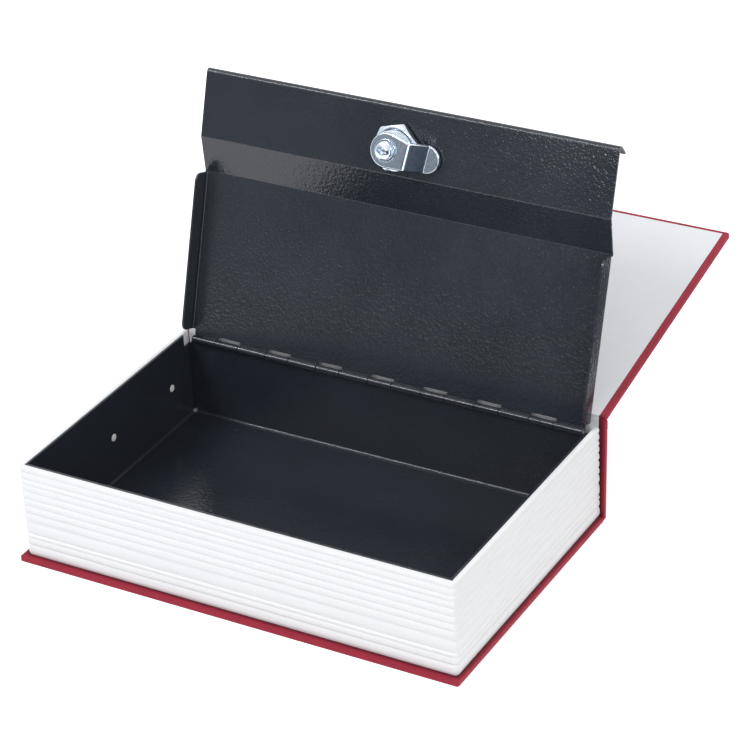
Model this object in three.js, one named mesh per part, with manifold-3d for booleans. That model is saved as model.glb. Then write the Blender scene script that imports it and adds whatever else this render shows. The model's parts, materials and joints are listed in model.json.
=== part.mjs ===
// A book safe: a folded steel cash tray and lid in a moulded page block, bound in a cloth covered case.
// Millimetres. X runs along the hinge, +Y points to the spine, +Z is up, and the origin is the middle of
// the back cover's underside. Every piece is drawn with the book shut. The groups then open it to its
// rest pose.

import * as THREE from 'three';
import { mergeVertices } from 'three/addons/utils/BufferGeometryUtils.js';
import Module from 'manifold-3d';

const wasm = await Module();
wasm.setup();

// Driving sizes of the book
const bookLength = 240;
const bookDepth = 155;
const pageHeight = 50;
const coverStack = 2.5;
const headOverhang = 2;
const foreOverhang = 3.5;
const foldGap = 0.3;
const shutGap = 0.3;

// Book case layers
const clothThickness = 0.35;
const glueLine = 0.15;
const turnIn = 3;
const spineFootLift = 0.3;
const spineTopDrop = 0.6;
const coverFoldSetback = 0.4;
const openFoldRise = 4.8;

// Page block
const blockWall = 2.6;
const blockFloor = 1.6;
const blockCorner = 2.6;
const grooveDepth = 0.55;
const grooveSlope = 0.85;
const grooveSlopeShare = 0.33;
const ridgeShares = [5.5, 4.2, 2.3, 6.9, 5.0, 4.0, 4.0, 4.2, 4.0, 2.8, 4.2, 2.9];

// Steel tray
const sheet = 1;
const bendInside = 1.5;
const traySeat = 0.2;
const cornerSeam = 0.5;
const cornerNotchWidth = 5;
const cornerNotchDepth = 7;
const stakeHole = 2.1;
const stakeRadius = 1.9;
const stakeShares = [0.5, 0.863];
const stakeHeight = 28.5;
const camSlotWidth = 20;
const camSlotHeight = 5;
const camPocketDepth = 0.75;
const camPocketMargin = 0.6;

// Hinge
const hingeInset = 2.2;
const hingeDrop = 3;
const barrelRadius = 1.9;
const boreRadius = 0.98;
const pinRadius = 0.9;
const hingeEndInset = 2.8;
const boxKnuckles = 7;
const knucklePitchShare = 0.13473;
const boxKnuckleShare = 0.4325;
const knuckleGap = 0.4;
const knuckleRowShift = -0.9;
const knuckleRelief = 0.8;
const lidSlotDepth = 3.3;

// Steel lid
const lidSideGap = 0.7;
const lidFrontGap = 0.7;
const troughRun = 18;
const troughFootInset = 13.7;
const troughDepth = 7.4;
const lidBend = 1;
const lipTurn = THREE.MathUtils.degToRad(124);
const lipTopDrop = 0.2;
const flangeDepth = 10.5;
const flangeStart = 5;
const flangeCorner = 4;
const flangeFold = 3;

// Lock
const lockInset = 22.3;
const lockOffset = -2;
const lockHeadRadius = 11.3;
const lockHeadHeight = 4.4;
const lockHeadChamfer = 0.8;
const barrelLength = 10.3;
const lockBarrelRadius = 9.1;
const lockFlat = 8;
const lockHoleGap = 0.15;
const seatGap = 0.2;
const washerThickness = 0.8;
const washerTeeth = 12;
const toothWasherRadius = 10.8;
const toothWasherRoot = 9.9;
const nutSides = 6;
const nutFlats = 22.5;
const nutHeight = 3;
const nutTurn = THREE.MathUtils.degToRad(15);
const plugRadius = 6.2;
const plugGap = 0.12;
const plugTang = 3;
const tangStickOut = 2.3;
const screwBore = 2;
const keySlotWidth = 1.5;
const keySlotHeight = 8;
const keySlotDepth = 10.6;
const camThickness = 2.3;
const camWidth = 14.2;
const camLobe = 8.7;
const camFirstBend = 10.9;
const camSecondBend = 16.9;
const camPastWall = 0.5;
const camTipStand = 3;
const camBendInside = 0.6;
const flatWasherRadius = 5.7;
const flatWasherThickness = 0.8;
const screwHeadRadius = 4.5;
const screwHeadHeight = 2.6;
const screwShank = 1.7;
const screwLength = 8;
const crossWidth = 1.1;
const crossLength = 4.4;
const crossDepth = 1.4;

// Disc wafers and their springs in the plug
const waferCount = 5;
const waferPitch = 1.6;
const waferThickness = 0.8;
const waferWidth = 6;
const waferHeight = 10.4;
const waferGap = 0.15;
const waferFirst = 2.2;
const lugWidth = 1.3;
const lugHeight = 0.8;
const lugRise = 1.4;
const springRadius = 0.42;
const springWire = 0.11;
const springTurns = 4;
const springLength = 2.4;

// Rest pose
const lidLean = THREE.MathUtils.degToRad(17.45);
const spineLean = THREE.MathUtils.degToRad(2.6);
const coverRise = THREE.MathUtils.degToRad(11.15);
const camRest = THREE.MathUtils.degToRad(8.5);

// Fineness of round shapes
const overrun = 1;
const mergeTolerance = 1e-5;
const roundSteps = 32;
const smallRoundSteps = 20;
const bendSteps = 4;
const springSides = 5;
const springStepsPerTurn = 8;
const bevelSteps = 2;
const halfShare = 0.5;
const quarterTurn = Math.PI / 2;

// Places worked out from the sizes
const backY = bookDepth / 2;
const foreY = -bookDepth / 2;
const spineInnerY = backY - coverStack;
const caseHalfLength = bookLength / 2;
const blockHalfLength = caseHalfLength - headOverhang;
const blockForeY = foreY + foreOverhang;
const blockBackY = spineInnerY - foldGap;
const blockBottomZ = coverStack;
const blockTopZ = blockBottomZ + pageHeight;
const trayHalfLength = blockHalfLength - blockWall - traySeat;
const trayForeY = blockForeY + blockWall + traySeat;
const trayBottomZ = blockBottomZ + blockFloor;
const trayInsideX = trayHalfLength - sheet;
const lidHalfLength = trayInsideX - lidSideGap;
const hingeLength = 2 * (lidHalfLength - hingeEndInset);
const knucklePitch = hingeLength * knucklePitchShare;
const boxKnuckleLength = knucklePitch * boxKnuckleShare;
const hingeY = blockBackY - hingeInset;
const hingeZ = blockTopZ - hingeDrop;
const trayBackY = hingeY + barrelRadius;
const coverInnerZ = blockTopZ + shutGap;
const coverOuterZ = coverInnerZ + coverStack;
const spineTopZ = coverOuterZ - spineTopDrop;
const spinePivot = new THREE.Vector2(spineInnerY, coverStack / 2);
const openAngle = {
  lid: Math.PI / 2 + lidLean,
  cover: Math.PI - coverRise - spineLean,
};

// The cover's fold line is the one point that carries its shut inner corner to its open one.
function coverFoldPivot() {
  const shut = new THREE.Vector2(spineInnerY - coverFoldSetback, coverInnerZ);
  const open = new THREE.Vector2(spineInnerY, coverInnerZ + openFoldRise);
  const step = shut.clone().sub(open);
  const side = new THREE.Vector2(-step.y, step.x);
  const middle = shut.clone().add(open).multiplyScalar(halfShare);
  return middle.add(side.multiplyScalar(halfShare / Math.tan(openAngle.cover / 2)));
}
const coverPivot = coverFoldPivot();
const lidPivot = new THREE.Vector2(hingeY, hingeZ);

const materials = {
  board: new THREE.MeshStandardMaterial({ color: 0x9a9188, roughness: 0.95, metalness: 0 }),
  cloth: new THREE.MeshStandardMaterial({ color: 0xa02d41, roughness: 0.85, metalness: 0 }),
  paper: new THREE.MeshStandardMaterial({ color: 0xe9e9ec, roughness: 0.9, metalness: 0 }),
  plastic: new THREE.MeshStandardMaterial({ color: 0xf0f1f3, roughness: 0.55, metalness: 0 }),
  steel: new THREE.MeshStandardMaterial({ color: 0x25282e, roughness: 0.45, metalness: 0.2 }),
  zinc: new THREE.MeshStandardMaterial({ color: 0xc9ced4, roughness: 0.25, metalness: 1 }),
  brass: new THREE.MeshStandardMaterial({ color: 0xb79a55, roughness: 0.35, metalness: 1 }),
  spring: new THREE.MeshStandardMaterial({ color: 0xb4b8bd, roughness: 0.3, metalness: 1 }),
};

// Turning three.js geometry into solids and back
function solidOf(geometry) {
  const bare = geometry.clone();
  bare.deleteAttribute('normal');
  bare.deleteAttribute('uv');
  const merged = mergeVertices(bare, mergeTolerance);
  return new wasm.Manifold(new wasm.Mesh({
    numProp: 3,
    vertProperties: Float32Array.from(merged.attributes.position.array),
    triVerts: Uint32Array.from(merged.index.array),
  }));
}

function geometryOf(solid) {
  const mesh = solid.getMesh();
  const geometry = new THREE.BufferGeometry();
  geometry.setAttribute('position', new THREE.BufferAttribute(mesh.vertProperties, 3));
  geometry.setIndex(new THREE.BufferAttribute(mesh.triVerts, 1));
  geometry.computeVertexNormals();
  return geometry;
}

function joined(solids) {
  return solids.reduce((whole, next) => whole.add(next));
}

function cutFrom(solid, cutters) {
  return cutters.reduce((rest, cutter) => rest.subtract(cutter), solid);
}

// A range that lies at the same distance from the middle on either side
function onSide(side, near, far) {
  return side > 0 ? [near, far] : [-far, -near];
}

// Simple solids, each given by the range that it fills on each axis
function boxSolid(x, y, z) {
  const geometry = new THREE.BoxGeometry(x[1] - x[0], y[1] - y[0], z[1] - z[0]);
  geometry.translate((x[0] + x[1]) / 2, (y[0] + y[1]) / 2, (z[0] + z[1]) / 2);
  return solidOf(geometry);
}

function rodAlongX(radius, x, y, z, steps) {
  const geometry = new THREE.CylinderGeometry(radius, radius, x[1] - x[0], steps);
  geometry.rotateZ(quarterTurn);
  geometry.translate((x[0] + x[1]) / 2, y, z);
  return solidOf(geometry);
}

function rodAlongZ(radius, z, steps) {
  const geometry = new THREE.CylinderGeometry(radius, radius, z[1] - z[0], steps);
  geometry.rotateX(quarterTurn);
  geometry.translate(0, 0, (z[0] + z[1]) / 2);
  return solidOf(geometry);
}

function extrudedAlongX(points, x) {
  const geometry = new THREE.ExtrudeGeometry(new THREE.Shape(points), {
    depth: x[1] - x[0],
    bevelEnabled: false,
  });
  const turn = new THREE.Matrix4().makeBasis(
    new THREE.Vector3(0, 1, 0), new THREE.Vector3(0, 0, 1), new THREE.Vector3(1, 0, 0));
  geometry.applyMatrix4(turn);
  geometry.translate(x[0], 0, 0);
  return solidOf(geometry);
}

function extrudedAlongY(points, y) {
  const geometry = new THREE.ExtrudeGeometry(new THREE.Shape(points), {
    depth: y[1] - y[0],
    bevelEnabled: false,
  });
  geometry.rotateX(quarterTurn);
  geometry.translate(0, y[1], 0);
  return solidOf(geometry);
}

function extrudedAlongZ(shape, z) {
  const geometry = new THREE.ExtrudeGeometry(shape, { depth: z[1] - z[0], bevelEnabled: false });
  geometry.translate(0, 0, z[0]);
  return solidOf(geometry);
}

// The outline of a folded sheet: its middle line runs through the corners with round bends.
function sheetOutline(corners, thickness, insideRadius) {
  const middleRadius = insideRadius + thickness / 2;
  const line = [];
  corners.forEach((corner, index) => {
    if (index === 0 || index === corners.length - 1) {
      line.push(corner.clone());
      return;
    }
    const inward = corner.clone().sub(corners[index - 1]).normalize();
    const outward = corners[index + 1].clone().sub(corner).normalize();
    const turn = Math.atan2(inward.cross(outward), inward.dot(outward));
    const setback = middleRadius * Math.tan(Math.abs(turn) / 2);
    const start = corner.clone().addScaledVector(inward, -setback);
    const side = new THREE.Vector2(-inward.y, inward.x).multiplyScalar(Math.sign(turn));
    const centre = start.clone().addScaledVector(side, middleRadius);
    for (let step = 0; step <= bendSteps; step += 1) {
      line.push(start.clone().rotateAround(centre, turn * step / bendSteps));
    }
  });
  const left = [];
  const right = [];
  line.forEach((point, index) => {
    const before = line[Math.max(index - 1, 0)];
    const after = line[Math.min(index + 1, line.length - 1)];
    const along = after.clone().sub(before).normalize();
    const normal = new THREE.Vector2(-along.y, along.x);
    left.push(point.clone().addScaledVector(normal, thickness / 2));
    right.push(point.clone().addScaledVector(normal, -thickness / 2));
  });
  return left.concat(right.reverse());
}

// One stiff case board with its cloth and lining, drawn as a slab: X along the book, Y across the board,
// and Z through it from the outer face to the inner one. Cloth wraps every edge that isn't at a fold.
function caseBoard(acrossLow, acrossHigh, foldLow, foldHigh) {
  const outer = { x: [-caseHalfLength, caseHalfLength], y: [acrossLow, acrossHigh], z: [0, coverStack] };
  const within = (inset, z) => {
    const half = caseHalfLength - inset;
    const low = foldLow ? acrossLow : acrossLow + inset;
    const high = foldHigh ? acrossHigh : acrossHigh - inset;
    return { x: [-half, half], y: [low, high], z };
  };
  const pastFolds = (part) => {
    const low = foldLow ? part.y[0] - overrun : part.y[0];
    const high = foldHigh ? part.y[1] + overrun : part.y[1];
    return boxSolid(part.x, [low, high], part.z);
  };
  const boardInset = clothThickness + glueLine;
  const board = within(boardInset, [boardInset, coverStack - boardInset]);
  const pocket = within(clothThickness, [clothThickness, coverStack - clothThickness]);
  const window = within(turnIn, [coverStack - boardInset, coverStack + overrun]);
  const lining = within(turnIn + glueLine, [coverStack - clothThickness, coverStack]);
  return {
    board: boxSolid(board.x, board.y, board.z),
    cloth: cutFrom(boxSolid(outer.x, outer.y, outer.z), [pastFolds(pocket), pastFolds(window)]),
    lining: boxSolid(lining.x, lining.y, lining.z),
  };
}

// Page block: a stack of ridges like gathered pages, hollowed for the tray and open towards the spine
function pageRidge(bottomZ, height) {
  const half = blockHalfLength;
  const shape = new THREE.Shape();
  shape.moveTo(-half, blockBackY);
  shape.lineTo(-half, blockForeY + blockCorner);
  shape.absarc(-half + blockCorner, blockForeY + blockCorner, blockCorner, Math.PI, 3 * quarterTurn);
  shape.lineTo(half - blockCorner, blockForeY);
  shape.absarc(half - blockCorner, blockForeY + blockCorner, blockCorner, -quarterTurn, 0);
  shape.lineTo(half, blockBackY);
  const slope = Math.min(grooveSlope, height * grooveSlopeShare);
  const geometry = new THREE.ExtrudeGeometry(shape, {
    depth: height - 2 * slope,
    curveSegments: bendSteps,
    bevelEnabled: true,
    bevelThickness: slope,
    bevelSize: grooveDepth,
    bevelOffset: -grooveDepth,
    bevelSegments: bevelSteps,
  });
  geometry.translate(0, 0, bottomZ + slope);
  return solidOf(geometry);
}

function camSlotRange() {
  const middle = hingeZ - (sheet - barrelRadius + troughDepth) - camTipStand + camThickness / 2;
  return [middle - camSlotHeight / 2, middle + camSlotHeight / 2];
}

function stakePlaces() {
  return stakeShares.map((share) => THREE.MathUtils.lerp(blockForeY, blockBackY, share));
}

function pageBlock() {
  const total = ridgeShares.reduce((sum, share) => sum + share);
  let bottomZ = blockBottomZ;
  const ridges = ridgeShares.map((share) => {
    const height = pageHeight * share / total;
    const ridge = pageRidge(bottomZ, height);
    bottomZ += height;
    return ridge;
  });
  const inside = blockHalfLength - blockWall;
  const hollow = boxSolid(
    [-inside, inside], [blockForeY + blockWall, backY], [trayBottomZ, blockTopZ + overrun]);
  const pocketHalf = camSlotWidth / 2 + camPocketMargin;
  const slot = camSlotRange();
  const pocket = boxSolid(
    [lockOffset - pocketHalf, lockOffset + pocketHalf],
    [blockForeY + blockWall - camPocketDepth, blockForeY + blockWall + overrun],
    [slot[0] - camPocketMargin, slot[1] + camPocketMargin]);
  const stakes = [-1, 1].flatMap((side) => stakePlaces().map((y) => {
    const reach = onSide(side, trayInsideX, inside + blockWall / 2);
    return rodAlongX(stakeRadius, reach, y, stakeHeight, smallRoundSteps);
  }));
  return joined([cutFrom(joined(ridges), [hollow, pocket]), ...stakes]);
}

// Hinge knuckles, as ranges along X
function boxKnuckleRanges(grow) {
  return Array.from({ length: boxKnuckles }, (unused, index) => {
    const middle = knuckleRowShift + (index - (boxKnuckles - 1) / 2) * knucklePitch;
    return [middle - boxKnuckleLength / 2 - grow, middle + boxKnuckleLength / 2 + grow];
  });
}

function lidKnuckleRanges() {
  const edges = [-hingeLength / 2, ...boxKnuckleRanges(knuckleGap).flat(), hingeLength / 2];
  return Array.from(
    { length: boxKnuckles + 1 }, (unused, index) => [edges[2 * index], edges[2 * index + 1]]);
}

function knuckle(range) {
  return rodAlongX(barrelRadius, range, hingeY, hingeZ, smallRoundSteps);
}

function pinBore() {
  const reach = hingeLength / 2 + overrun;
  return rodAlongX(boreRadius, [-reach, reach], hingeY, hingeZ, smallRoundSteps);
}

function hingePin() {
  return rodAlongX(pinRadius, [-hingeLength / 2, hingeLength / 2], hingeY, hingeZ, smallRoundSteps);
}

// Tray: two folded channels that share the floor, with open seams at the corners
function tray() {
  const floorMid = trayBottomZ + sheet / 2;
  const sideMid = trayHalfLength - sheet / 2;
  const foreMid = trayForeY + sheet / 2;
  const backMid = trayBackY - sheet / 2;
  const bendOutside = bendInside + sheet;
  const wallFootZ = trayBottomZ + bendOutside;
  const across = sheetOutline([
    new THREE.Vector2(-sideMid, blockTopZ),
    new THREE.Vector2(-sideMid, floorMid),
    new THREE.Vector2(sideMid, floorMid),
    new THREE.Vector2(sideMid, blockTopZ),
  ], sheet, bendInside);
  const along = sheetOutline([
    new THREE.Vector2(foreMid, blockTopZ),
    new THREE.Vector2(foreMid, floorMid),
    new THREE.Vector2(backMid, floorMid),
    new THREE.Vector2(backMid, hingeZ),
  ], sheet, bendInside);
  const sideWall = (side) => {
    const x = onSide(side, trayInsideX, trayHalfLength);
    const y = [trayForeY + sheet + cornerSeam, trayBackY - sheet - cornerSeam];
    return boxSolid(x, y, [wallFootZ, blockTopZ]);
  };
  const endWallX = [-trayHalfLength, trayHalfLength];
  const endWalls = [
    boxSolid(endWallX, [trayForeY, trayForeY + sheet], [wallFootZ, blockTopZ]),
    boxSolid(endWallX, [trayBackY - sheet, trayBackY], [wallFootZ, hingeZ - barrelRadius]),
  ];
  const shell = joined([
    extrudedAlongY(across, [trayForeY + bendOutside, trayBackY - bendOutside]),
    extrudedAlongX(along, [bendOutside - trayHalfLength, trayHalfLength - bendOutside]),
    sideWall(-1),
    sideWall(1),
    ...endWalls,
    ...boxKnuckleRanges(0).map(knuckle),
  ]);
  const wallReach = trayHalfLength + overrun;
  const edges = [-wallReach, ...boxKnuckleRanges(0).flat(), wallReach];
  const lidKnuckleCuts = Array.from({ length: boxKnuckles + 1 }, (unused, index) => boxSolid(
    [edges[2 * index], edges[2 * index + 1]],
    [hingeY - barrelRadius - overrun, trayBackY + overrun],
    [hingeZ - barrelRadius - knuckleRelief, blockTopZ + overrun]));
  const notches = [-1, 1].map((side) => boxSolid(
    onSide(side, trayInsideX - overrun, wallReach),
    [trayBackY - sheet - cornerNotchWidth, trayBackY + overrun],
    [blockTopZ - cornerNotchDepth, blockTopZ + overrun]));
  const slot = boxSolid(
    [lockOffset - camSlotWidth / 2, lockOffset + camSlotWidth / 2],
    [trayForeY - overrun, trayForeY + sheet + overrun],
    camSlotRange());
  const holes = stakePlaces().map((y) => rodAlongX(
    stakeHole, [-wallReach, wallReach], y, stakeHeight, smallRoundSteps));
  return cutFrom(shell, [...lidKnuckleCuts, ...notches, slot, ...holes, pinBore()]);
}

// Places on the lid: reach is measured from the hinge towards the fore edge, depth from the hinge downwards
function lidPoint(reach, depth) {
  return new THREE.Vector2(hingeY - reach, hingeZ - depth);
}

const panelDepth = sheet / 2 - barrelRadius;
const troughMidDepth = panelDepth + troughDepth;
const troughInnerZ = hingeZ - troughMidDepth - sheet / 2;
const troughOuterZ = troughInnerZ + sheet;
const lidFrontReach = hingeY - (trayForeY + sheet) - lidFrontGap;
const lockReach = lidFrontReach - lockInset;
const lockY = hingeY - lockReach;
const troughFoot = lockReach - troughFootInset;
const troughStart = troughFoot - troughRun;
const camLength = lockInset + lidFrontGap + sheet + camPastWall;

function lidProfile() {
  const lipCornerReach = lidFrontReach - sheet / 2;
  const lipRise = troughDepth - lipTopDrop;
  const lipRun = lipRise / Math.tan(Math.PI - lipTurn);
  return sheetOutline([
    lidPoint(0, panelDepth),
    lidPoint(troughStart, panelDepth),
    lidPoint(troughFoot, troughMidDepth),
    lidPoint(lipCornerReach, troughMidDepth),
    lidPoint(lipCornerReach - lipRun, troughMidDepth - lipRise),
  ], sheet, lidBend);
}

// Side flange: a strip of the panel folded down round a bend, with its free corners rounded
const flangeReach = [hingeY - troughStart + lidBend, hingeY - flangeStart];

function lidFlange(side) {
  const near = lidPoint(flangeStart, -barrelRadius);
  const far = lidPoint(troughStart - lidBend, flangeDepth - barrelRadius);
  const panelZ = hingeZ - panelDepth;
  const middleX = side * (lidHalfLength - sheet / 2);
  const fold = sheetOutline([
    new THREE.Vector2(side * (lidHalfLength - flangeFold), panelZ),
    new THREE.Vector2(middleX, panelZ),
    new THREE.Vector2(middleX, far.y),
  ], sheet, lidBend);
  const shape = new THREE.Path();
  shape.moveTo(near.x, near.y);
  shape.lineTo(near.x, far.y + flangeCorner);
  shape.absarc(near.x - flangeCorner, far.y + flangeCorner, flangeCorner, 0, -quarterTurn, true);
  shape.lineTo(far.x + flangeCorner, far.y);
  shape.absarc(far.x + flangeCorner, far.y + flangeCorner, flangeCorner, -quarterTurn, Math.PI, true);
  shape.lineTo(far.x, near.y);
  const x = onSide(side, lidHalfLength - flangeFold - overrun, lidHalfLength + overrun);
  return extrudedAlongY(fold, flangeReach).intersect(extrudedAlongX(shape.getPoints(bendSteps), x));
}

// The room that a flange's bend takes from the panel's edge
function flangeCut(side) {
  const x = onSide(side, lidHalfLength - flangeFold, lidHalfLength + overrun);
  return boxSolid(x, flangeReach, [hingeZ, hingeZ + barrelRadius + overrun]);
}

function lockHole() {
  const z = [troughInnerZ - overrun, troughOuterZ + overrun];
  const round = rodAlongZ(lockBarrelRadius + lockHoleGap, z, roundSteps);
  const half = lockFlat + lockHoleGap;
  const wide = lockBarrelRadius + overrun;
  const flats = boxSolid([-half, half], [-wide, wide], z);
  return round.intersect(flats).translate([lockOffset, lockY, 0]);
}

function lid() {
  const panel = extrudedAlongX(lidProfile(), [-lidHalfLength, lidHalfLength]);
  const knuckleSlots = boxKnuckleRanges(knuckleGap).map((range) => boxSolid(
    range, [hingeY - lidSlotDepth, hingeY + overrun], [hingeZ, hingeZ + barrelRadius + overrun]));
  const endSlots = [-1, 1].map((side) => boxSolid(
    onSide(side, hingeLength / 2, lidHalfLength + overrun),
    [hingeY - flangeStart, hingeY + overrun],
    [hingeZ, hingeZ + barrelRadius + overrun]));
  const edged = cutFrom(panel, [flangeCut(-1), flangeCut(1)]);
  const whole = joined([edged, lidFlange(-1), lidFlange(1)]);
  const cut = cutFrom(whole, [...knuckleSlots, ...endSlots, lockHole()]);
  return cutFrom(joined([cut, ...lidKnuckleRanges().map(knuckle)]), [pinBore()]);
}

// Lock pieces are drawn about the lock's axis, then moved to it. Z is the shut book's height.
const barrelEndZ = troughInnerZ - barrelLength;
const headFootZ = troughOuterZ + seatGap;
const headTopZ = headFootZ + lockHeadHeight;
const toothWasherZ = troughInnerZ - seatGap;
const nutTopZ = toothWasherZ - washerThickness - seatGap;
const camTopZ = barrelEndZ - seatGap;
const flatWasherZ = camTopZ - camThickness - seatGap;
const screwHeadZ = flatWasherZ - flatWasherThickness - seatGap;

function lockHousing() {
  const headProfile = [
    new THREE.Vector2(0, headFootZ),
    new THREE.Vector2(lockHeadRadius, headFootZ),
    new THREE.Vector2(lockHeadRadius, headTopZ - lockHeadChamfer),
    new THREE.Vector2(lockHeadRadius - lockHeadChamfer, headTopZ),
    new THREE.Vector2(0, headTopZ),
  ];
  const head = solidOf(new THREE.LatheGeometry(headProfile, roundSteps).rotateX(quarterTurn));
  const wide = lockBarrelRadius + overrun;
  const flats = boxSolid([-lockFlat, lockFlat], [-wide, wide], [barrelEndZ, headTopZ - lockHeadChamfer]);
  const round = rodAlongZ(lockBarrelRadius, [barrelEndZ, headTopZ - lockHeadChamfer], roundSteps);
  const barrel = round.intersect(flats);
  const bore = rodAlongZ(plugRadius + plugGap, [barrelEndZ - overrun, headTopZ + overrun], roundSteps);
  return cutFrom(joined([head, barrel]), [bore]);
}

function toothWasher() {
  const outline = new THREE.Shape();
  for (let step = 0; step < 2 * washerTeeth; step += 1) {
    const angle = Math.PI * step / washerTeeth;
    const radius = step % 2 === 0 ? toothWasherRadius : toothWasherRoot;
    const point = [radius * Math.cos(angle), radius * Math.sin(angle)];
    if (step === 0) outline.moveTo(...point);
    else outline.lineTo(...point);
  }
  const z = [toothWasherZ - washerThickness, toothWasherZ];
  const bore = rodAlongZ(lockBarrelRadius + lockHoleGap, [z[0] - overrun, z[1] + overrun], roundSteps);
  return cutFrom(extrudedAlongZ(outline, z), [bore]);
}

function lockNut() {
  const cornerRadius = nutFlats / 2 / Math.cos(Math.PI / nutSides);
  const z = [nutTopZ - nutHeight, nutTopZ];
  const hexagon = rodAlongZ(cornerRadius, z, nutSides).rotate([0, 0, THREE.MathUtils.radToDeg(nutTurn)]);
  const bore = rodAlongZ(lockBarrelRadius + lockHoleGap, [z[0] - overrun, z[1] + overrun], roundSteps);
  return cutFrom(hexagon, [bore]);
}

function waferTopZ(index) {
  return headTopZ - waferFirst - index * waferPitch;
}

// The room that one wafer, its lug and its spring take in the plug
function waferSlot(index) {
  const top = waferTopZ(index);
  const z = [top - waferThickness - waferGap, top + waferGap];
  const half = waferWidth / 2 + waferGap;
  const through = boxSolid([-half, half], [-plugRadius - overrun, plugRadius + overrun], z);
  const pocketLow = lugRise - springLength - 2 * waferGap;
  const pocketHigh = lugRise + lugHeight + waferGap;
  const pocket = boxSolid([0, half + lugWidth], [pocketLow, pocketHigh], z);
  return through.add(pocket);
}

function lockPlug() {
  const body = rodAlongZ(plugRadius, [barrelEndZ, headTopZ - lockHeadChamfer], roundSteps);
  const tang = boxSolid(
    [-plugTang, plugTang],
    [-plugTang, plugTang],
    [barrelEndZ - tangStickOut, barrelEndZ + overrun]);
  const keySlot = boxSolid(
    [-keySlotWidth / 2, keySlotWidth / 2],
    [-keySlotHeight / 2, keySlotHeight / 2],
    [headTopZ - keySlotDepth, headTopZ + overrun]);
  const screwHole = rodAlongZ(
    screwBore, [screwHeadZ - overrun, screwHeadZ + screwLength + overrun], smallRoundSteps);
  const slots = Array.from({ length: waferCount }, (unused, index) => waferSlot(index));
  return cutFrom(joined([body, tang]), [keySlot, screwHole, ...slots]);
}

function wafer(index) {
  const top = waferTopZ(index);
  const z = [top - waferThickness, top];
  const plate = boxSolid([-waferWidth / 2, waferWidth / 2], [-waferHeight / 2, waferHeight / 2], z);
  const lug = boxSolid([0, waferWidth / 2 + lugWidth - waferGap], [lugRise, lugRise + lugHeight], z);
  const keyWindow = boxSolid(
    [-keySlotWidth / 2 - waferGap, keySlotWidth / 2 + waferGap],
    [-keySlotHeight / 2 + waferGap, keySlotHeight / 2 - waferGap],
    [z[0] - overrun, z[1] + overrun]);
  return cutFrom(joined([plate, lug]), [keyWindow]);
}

class SpringPath extends THREE.Curve {
  getPoint(share, target = new THREE.Vector3()) {
    const angle = 2 * Math.PI * springTurns * share;
    const rise = springLength * share;
    return target.set(springRadius * Math.cos(angle), rise, springRadius * Math.sin(angle));
  }
}

function waferSpring(index) {
  const section = new THREE.Shape();
  section.absarc(0, 0, springWire, 0, 2 * Math.PI);
  const geometry = new THREE.ExtrudeGeometry(section, {
    extrudePath: new SpringPath(),
    steps: springTurns * springStepsPerTurn,
    curveSegments: springSides,
  });
  const spanMiddle = waferWidth / 2 + waferGap + lugWidth / 2;
  geometry.translate(spanMiddle, lugRise - springLength - waferGap, waferTopZ(index) - waferThickness / 2);
  return solidOf(geometry);
}

// Cam: a cranked strip whose plan has a round lobe at the plug and a round tip
function lockCam() {
  const plateMid = camTopZ - camThickness / 2;
  const tipMid = troughInnerZ - camTipStand + camThickness / 2;
  const strip = sheetOutline([
    new THREE.Vector2(-camLobe - overrun, plateMid),
    new THREE.Vector2(camFirstBend, plateMid),
    new THREE.Vector2(camSecondBend, tipMid),
    new THREE.Vector2(camLength + overrun, tipMid),
  ], camThickness, camBendInside);
  const half = camLobe + overrun;
  const shoulder = new THREE.Vector2(camFirstBend, camWidth / 2);
  const lobeEdge = shoulder.angle() + Math.acos(camLobe / shoulder.length());
  const tipMiddle = camLength - camWidth / 2;
  const plan = new THREE.Shape();
  plan.absarc(0, 0, camLobe, lobeEdge, -lobeEdge, false);
  plan.lineTo(shoulder.x, -shoulder.y);
  plan.lineTo(tipMiddle, -camWidth / 2);
  plan.absarc(tipMiddle, 0, camWidth / 2, -quarterTurn, quarterTurn);
  plan.lineTo(shoulder.x, shoulder.y);
  const outline = extrudedAlongZ(plan, [camTopZ - 2 * camThickness, troughInnerZ]);
  const tangHalf = plugTang + plugGap;
  const tangHole = boxSolid(
    [-tangHalf, tangHalf], [-tangHalf, tangHalf], [flatWasherZ - overrun, camTopZ + overrun]);
  return cutFrom(extrudedAlongY(strip, [-half, half]).intersect(outline), [tangHole]);
}

function camWasher() {
  const z = [flatWasherZ - flatWasherThickness, flatWasherZ];
  const bore = rodAlongZ(screwBore, [z[0] - overrun, z[1] + overrun], smallRoundSteps);
  return cutFrom(rodAlongZ(flatWasherRadius, z, roundSteps), [bore]);
}

function camScrew() {
  const rim = screwHeadHeight * halfShare;
  const headProfile = new THREE.Path();
  headProfile.moveTo(0, screwHeadZ);
  headProfile.lineTo(screwHeadRadius, screwHeadZ);
  headProfile.lineTo(screwHeadRadius, screwHeadZ - rim);
  headProfile.quadraticCurveTo(
    screwHeadRadius, screwHeadZ - screwHeadHeight, 0, screwHeadZ - screwHeadHeight);
  const rimToAxis = headProfile.getPoints(bendSteps).reverse();
  const head = solidOf(new THREE.LatheGeometry(rimToAxis, roundSteps).rotateX(quarterTurn));
  const shank = rodAlongZ(screwShank, [screwHeadZ - rim, screwHeadZ + screwLength], smallRoundSteps);
  const crossZ = [screwHeadZ - screwHeadHeight - overrun, screwHeadZ - screwHeadHeight + crossDepth];
  const bars = [
    boxSolid([-crossWidth / 2, crossWidth / 2], [-crossLength / 2, crossLength / 2], crossZ),
    boxSolid([-crossLength / 2, crossLength / 2], [-crossWidth / 2, crossWidth / 2], crossZ),
  ];
  return cutFrom(joined([head, shank]), bars);
}

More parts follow.
